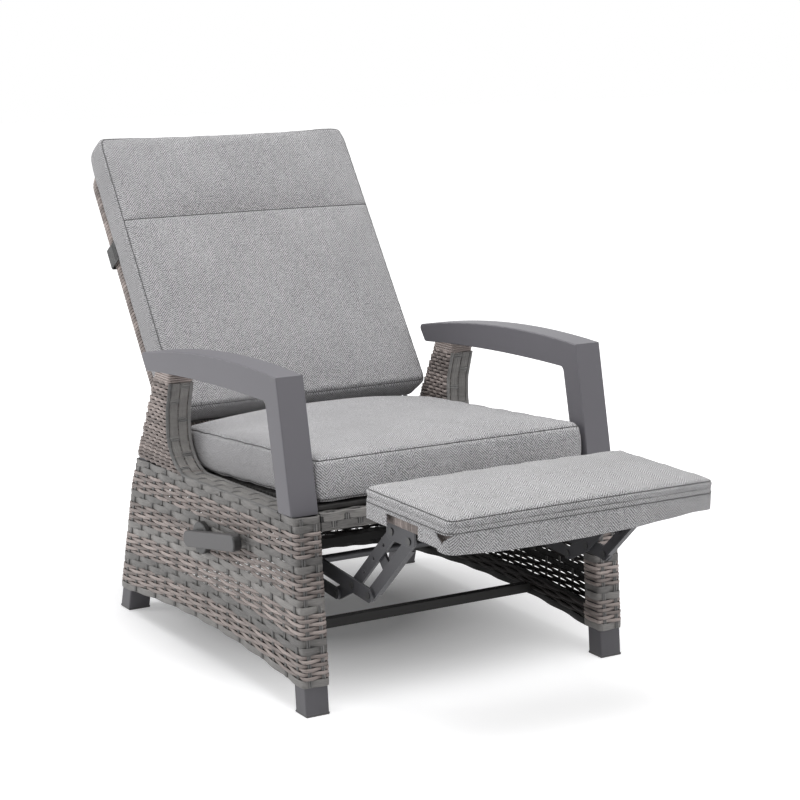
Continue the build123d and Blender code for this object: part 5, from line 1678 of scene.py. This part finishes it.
def coated_finish(name, colour, worn, roughness, metallic=0.0, grain=900.0, relief=0.12, shine=0.5):
    """Coated metal or plastic: fine grain, faint clouds, worn edges."""
    finish, tree, shader = new_finish(name)
    clouds = object_noise(tree, 5.0, 4.0)
    fine = object_noise(tree, grain, 2.0)
    base = blend_colours(tree, clouds, darker(colour, 0.92), colour)
    tree.links.new(blend_colours(tree, edge_wear(tree), base, worn), shader.inputs["Base Color"])
    rough = math(tree, "MULTIPLY_ADD", fine, 0.12, roughness - 0.06)
    tree.links.new(rough, shader.inputs["Roughness"])
    set_shader(shader, Metallic=metallic, Specular_IOR_Level=shine)
    raise_surface(tree, shader, fine, relief, 0.0004)
    print("finish", name)
    return finish


coats = {
    "powder_coat": coated_finish(
        "powder_coat_grey", grey(0.457, 0.006, 0.020), grey(0.59), 0.42, shine=0.25),
    "frame_tube": coated_finish(
        "frame_tube_charcoal", grey(0.20, 0.002), grey(0.32), 0.55, shine=0.35),
    "dark_steel": coated_finish(
        "link_steel_charcoal", grey(0.30, 0.0, 0.012), grey(0.52), 0.42, 0.35, 700.0, 0.16),
    "dark_plastic": coated_finish(
        "moulded_plastic_grey", grey(0.33, 0.004, 0.004), grey(0.42), 0.5, 0.0, 1400.0, 0.10),
}
leg_coat = coated_finish("powder_coat_leg", grey(0.405, 0.004, 0.014), grey(0.54), 0.45, shine=0.25)
black_plastic = coated_finish("moulded_plastic_black", grey(0.20), grey(0.32), 0.42, 0.0, 1400.0, 0.10)


# %% [markdown]
# ## Bare metal and the hidden deck
# Pins are zinc-plated and dark, and the rod of the gas spring is chrome; fine streaks break their
# shine. The deck under the seat cushion is seen only through gaps, so its weave is a pattern in
# the finish and not made of strands, and its colour is a painted shade, kept very dark so that the
# gap under the cushion reads as shadow.


# %% Bare and plated metal
def bare_finish(name, level, roughness, metallic=1.0):
    """Plated or bare metal with fine streaks."""
    finish, tree, shader = new_finish(name)
    streaks = object_noise(tree, 260.0, 3.0, (0.3, 1.0, 1.0))
    colour = blend_colours(tree, streaks, grey(level - 0.08), grey(level))
    tree.links.new(colour, shader.inputs["Base Color"])
    set_shader(shader, Metallic=metallic)
    tree.links.new(math(tree, "MULTIPLY_ADD", streaks, 0.15, roughness), shader.inputs["Roughness"])
    raise_surface(tree, shader, streaks, 0.08, 0.0002)
    print("finish", name)
    return finish


metals = {
    "pin_steel": bare_finish("black_zinc", 0.36, 0.30, 0.7),
    "rod_chrome": bare_finish("rod_chrome_bright", 0.86, 0.06),
}


# %% Woven deck under the seat cushion
SHEET_ROD_GAP, SHEET_ROW = 0.028, 0.015


def woven_sheet_painted_shade_finish():
    """Plain weave of wide strands as a pattern, for the deck that the cushion hides, in a very dark painted
    shade.
    """
    finish, tree, shader = new_finish("woven_sheet")
    x, y, _ = object_place(tree).outputs
    across_rows = math(tree, "SINE", math(tree, "MULTIPLY", x, pi / SHEET_ROD_GAP))
    along_rows = math(tree, "SINE", math(tree, "MULTIPLY", y, pi / SHEET_ROW))
    checks = math(tree, "MULTIPLY", across_rows, along_rows)
    edges = math(tree, "ABSOLUTE", along_rows)
    height = math(tree, "MULTIPLY_ADD", math(tree, "POWER", edges, 0.4), 1.5, checks)
    tone = math(tree, "MULTIPLY_ADD", checks, 0.2, object_noise(tree, 30.0, 3.0))
    # Painted shade: the deck's strands are kept very dark, so the gap between cushion and beam reads as
    # shadow.
    tree.links.new(blend_colours(tree, tone, grey(0.10), grey(0.24, 0.006)), shader.inputs["Base Color"])
    set_shader(shader, Roughness=0.6)
    raise_surface(tree, shader, height, 0.8, 0.0015)
    print("finish", finish.name)
    return finish


# %% [markdown]
# ## Dressing the measured solids
# Each solid names the kind of material it is made of, so one table of finishes dresses them all.
# The legs, the rosette and the end cap of the lever differ from their kind and have their own.

# %% Dress the measured solids
slot_finishes = {**coats, **metals, "wicker": woven_sheet_painted_shade_finish(), "fabric": twill}
own_finishes = {"lever_rosette": black_plastic, "lever_cap": black_plastic}
for corner in ("front_leg_left", "front_leg_right", "rear_leg_left", "rear_leg_right"):
    own_finishes[corner] = leg_coat
for part in frame["record"]["subparts"]:
    solid = frame["nodes"][part["node"]]
    finish = own_finishes.get(part["node"], slot_finishes[part["material_slot"]])
    if not solid.data.materials:
        solid.data.materials.append(finish)
    for index in range(len(solid.data.materials)):
        solid.data.materials[index] = finish
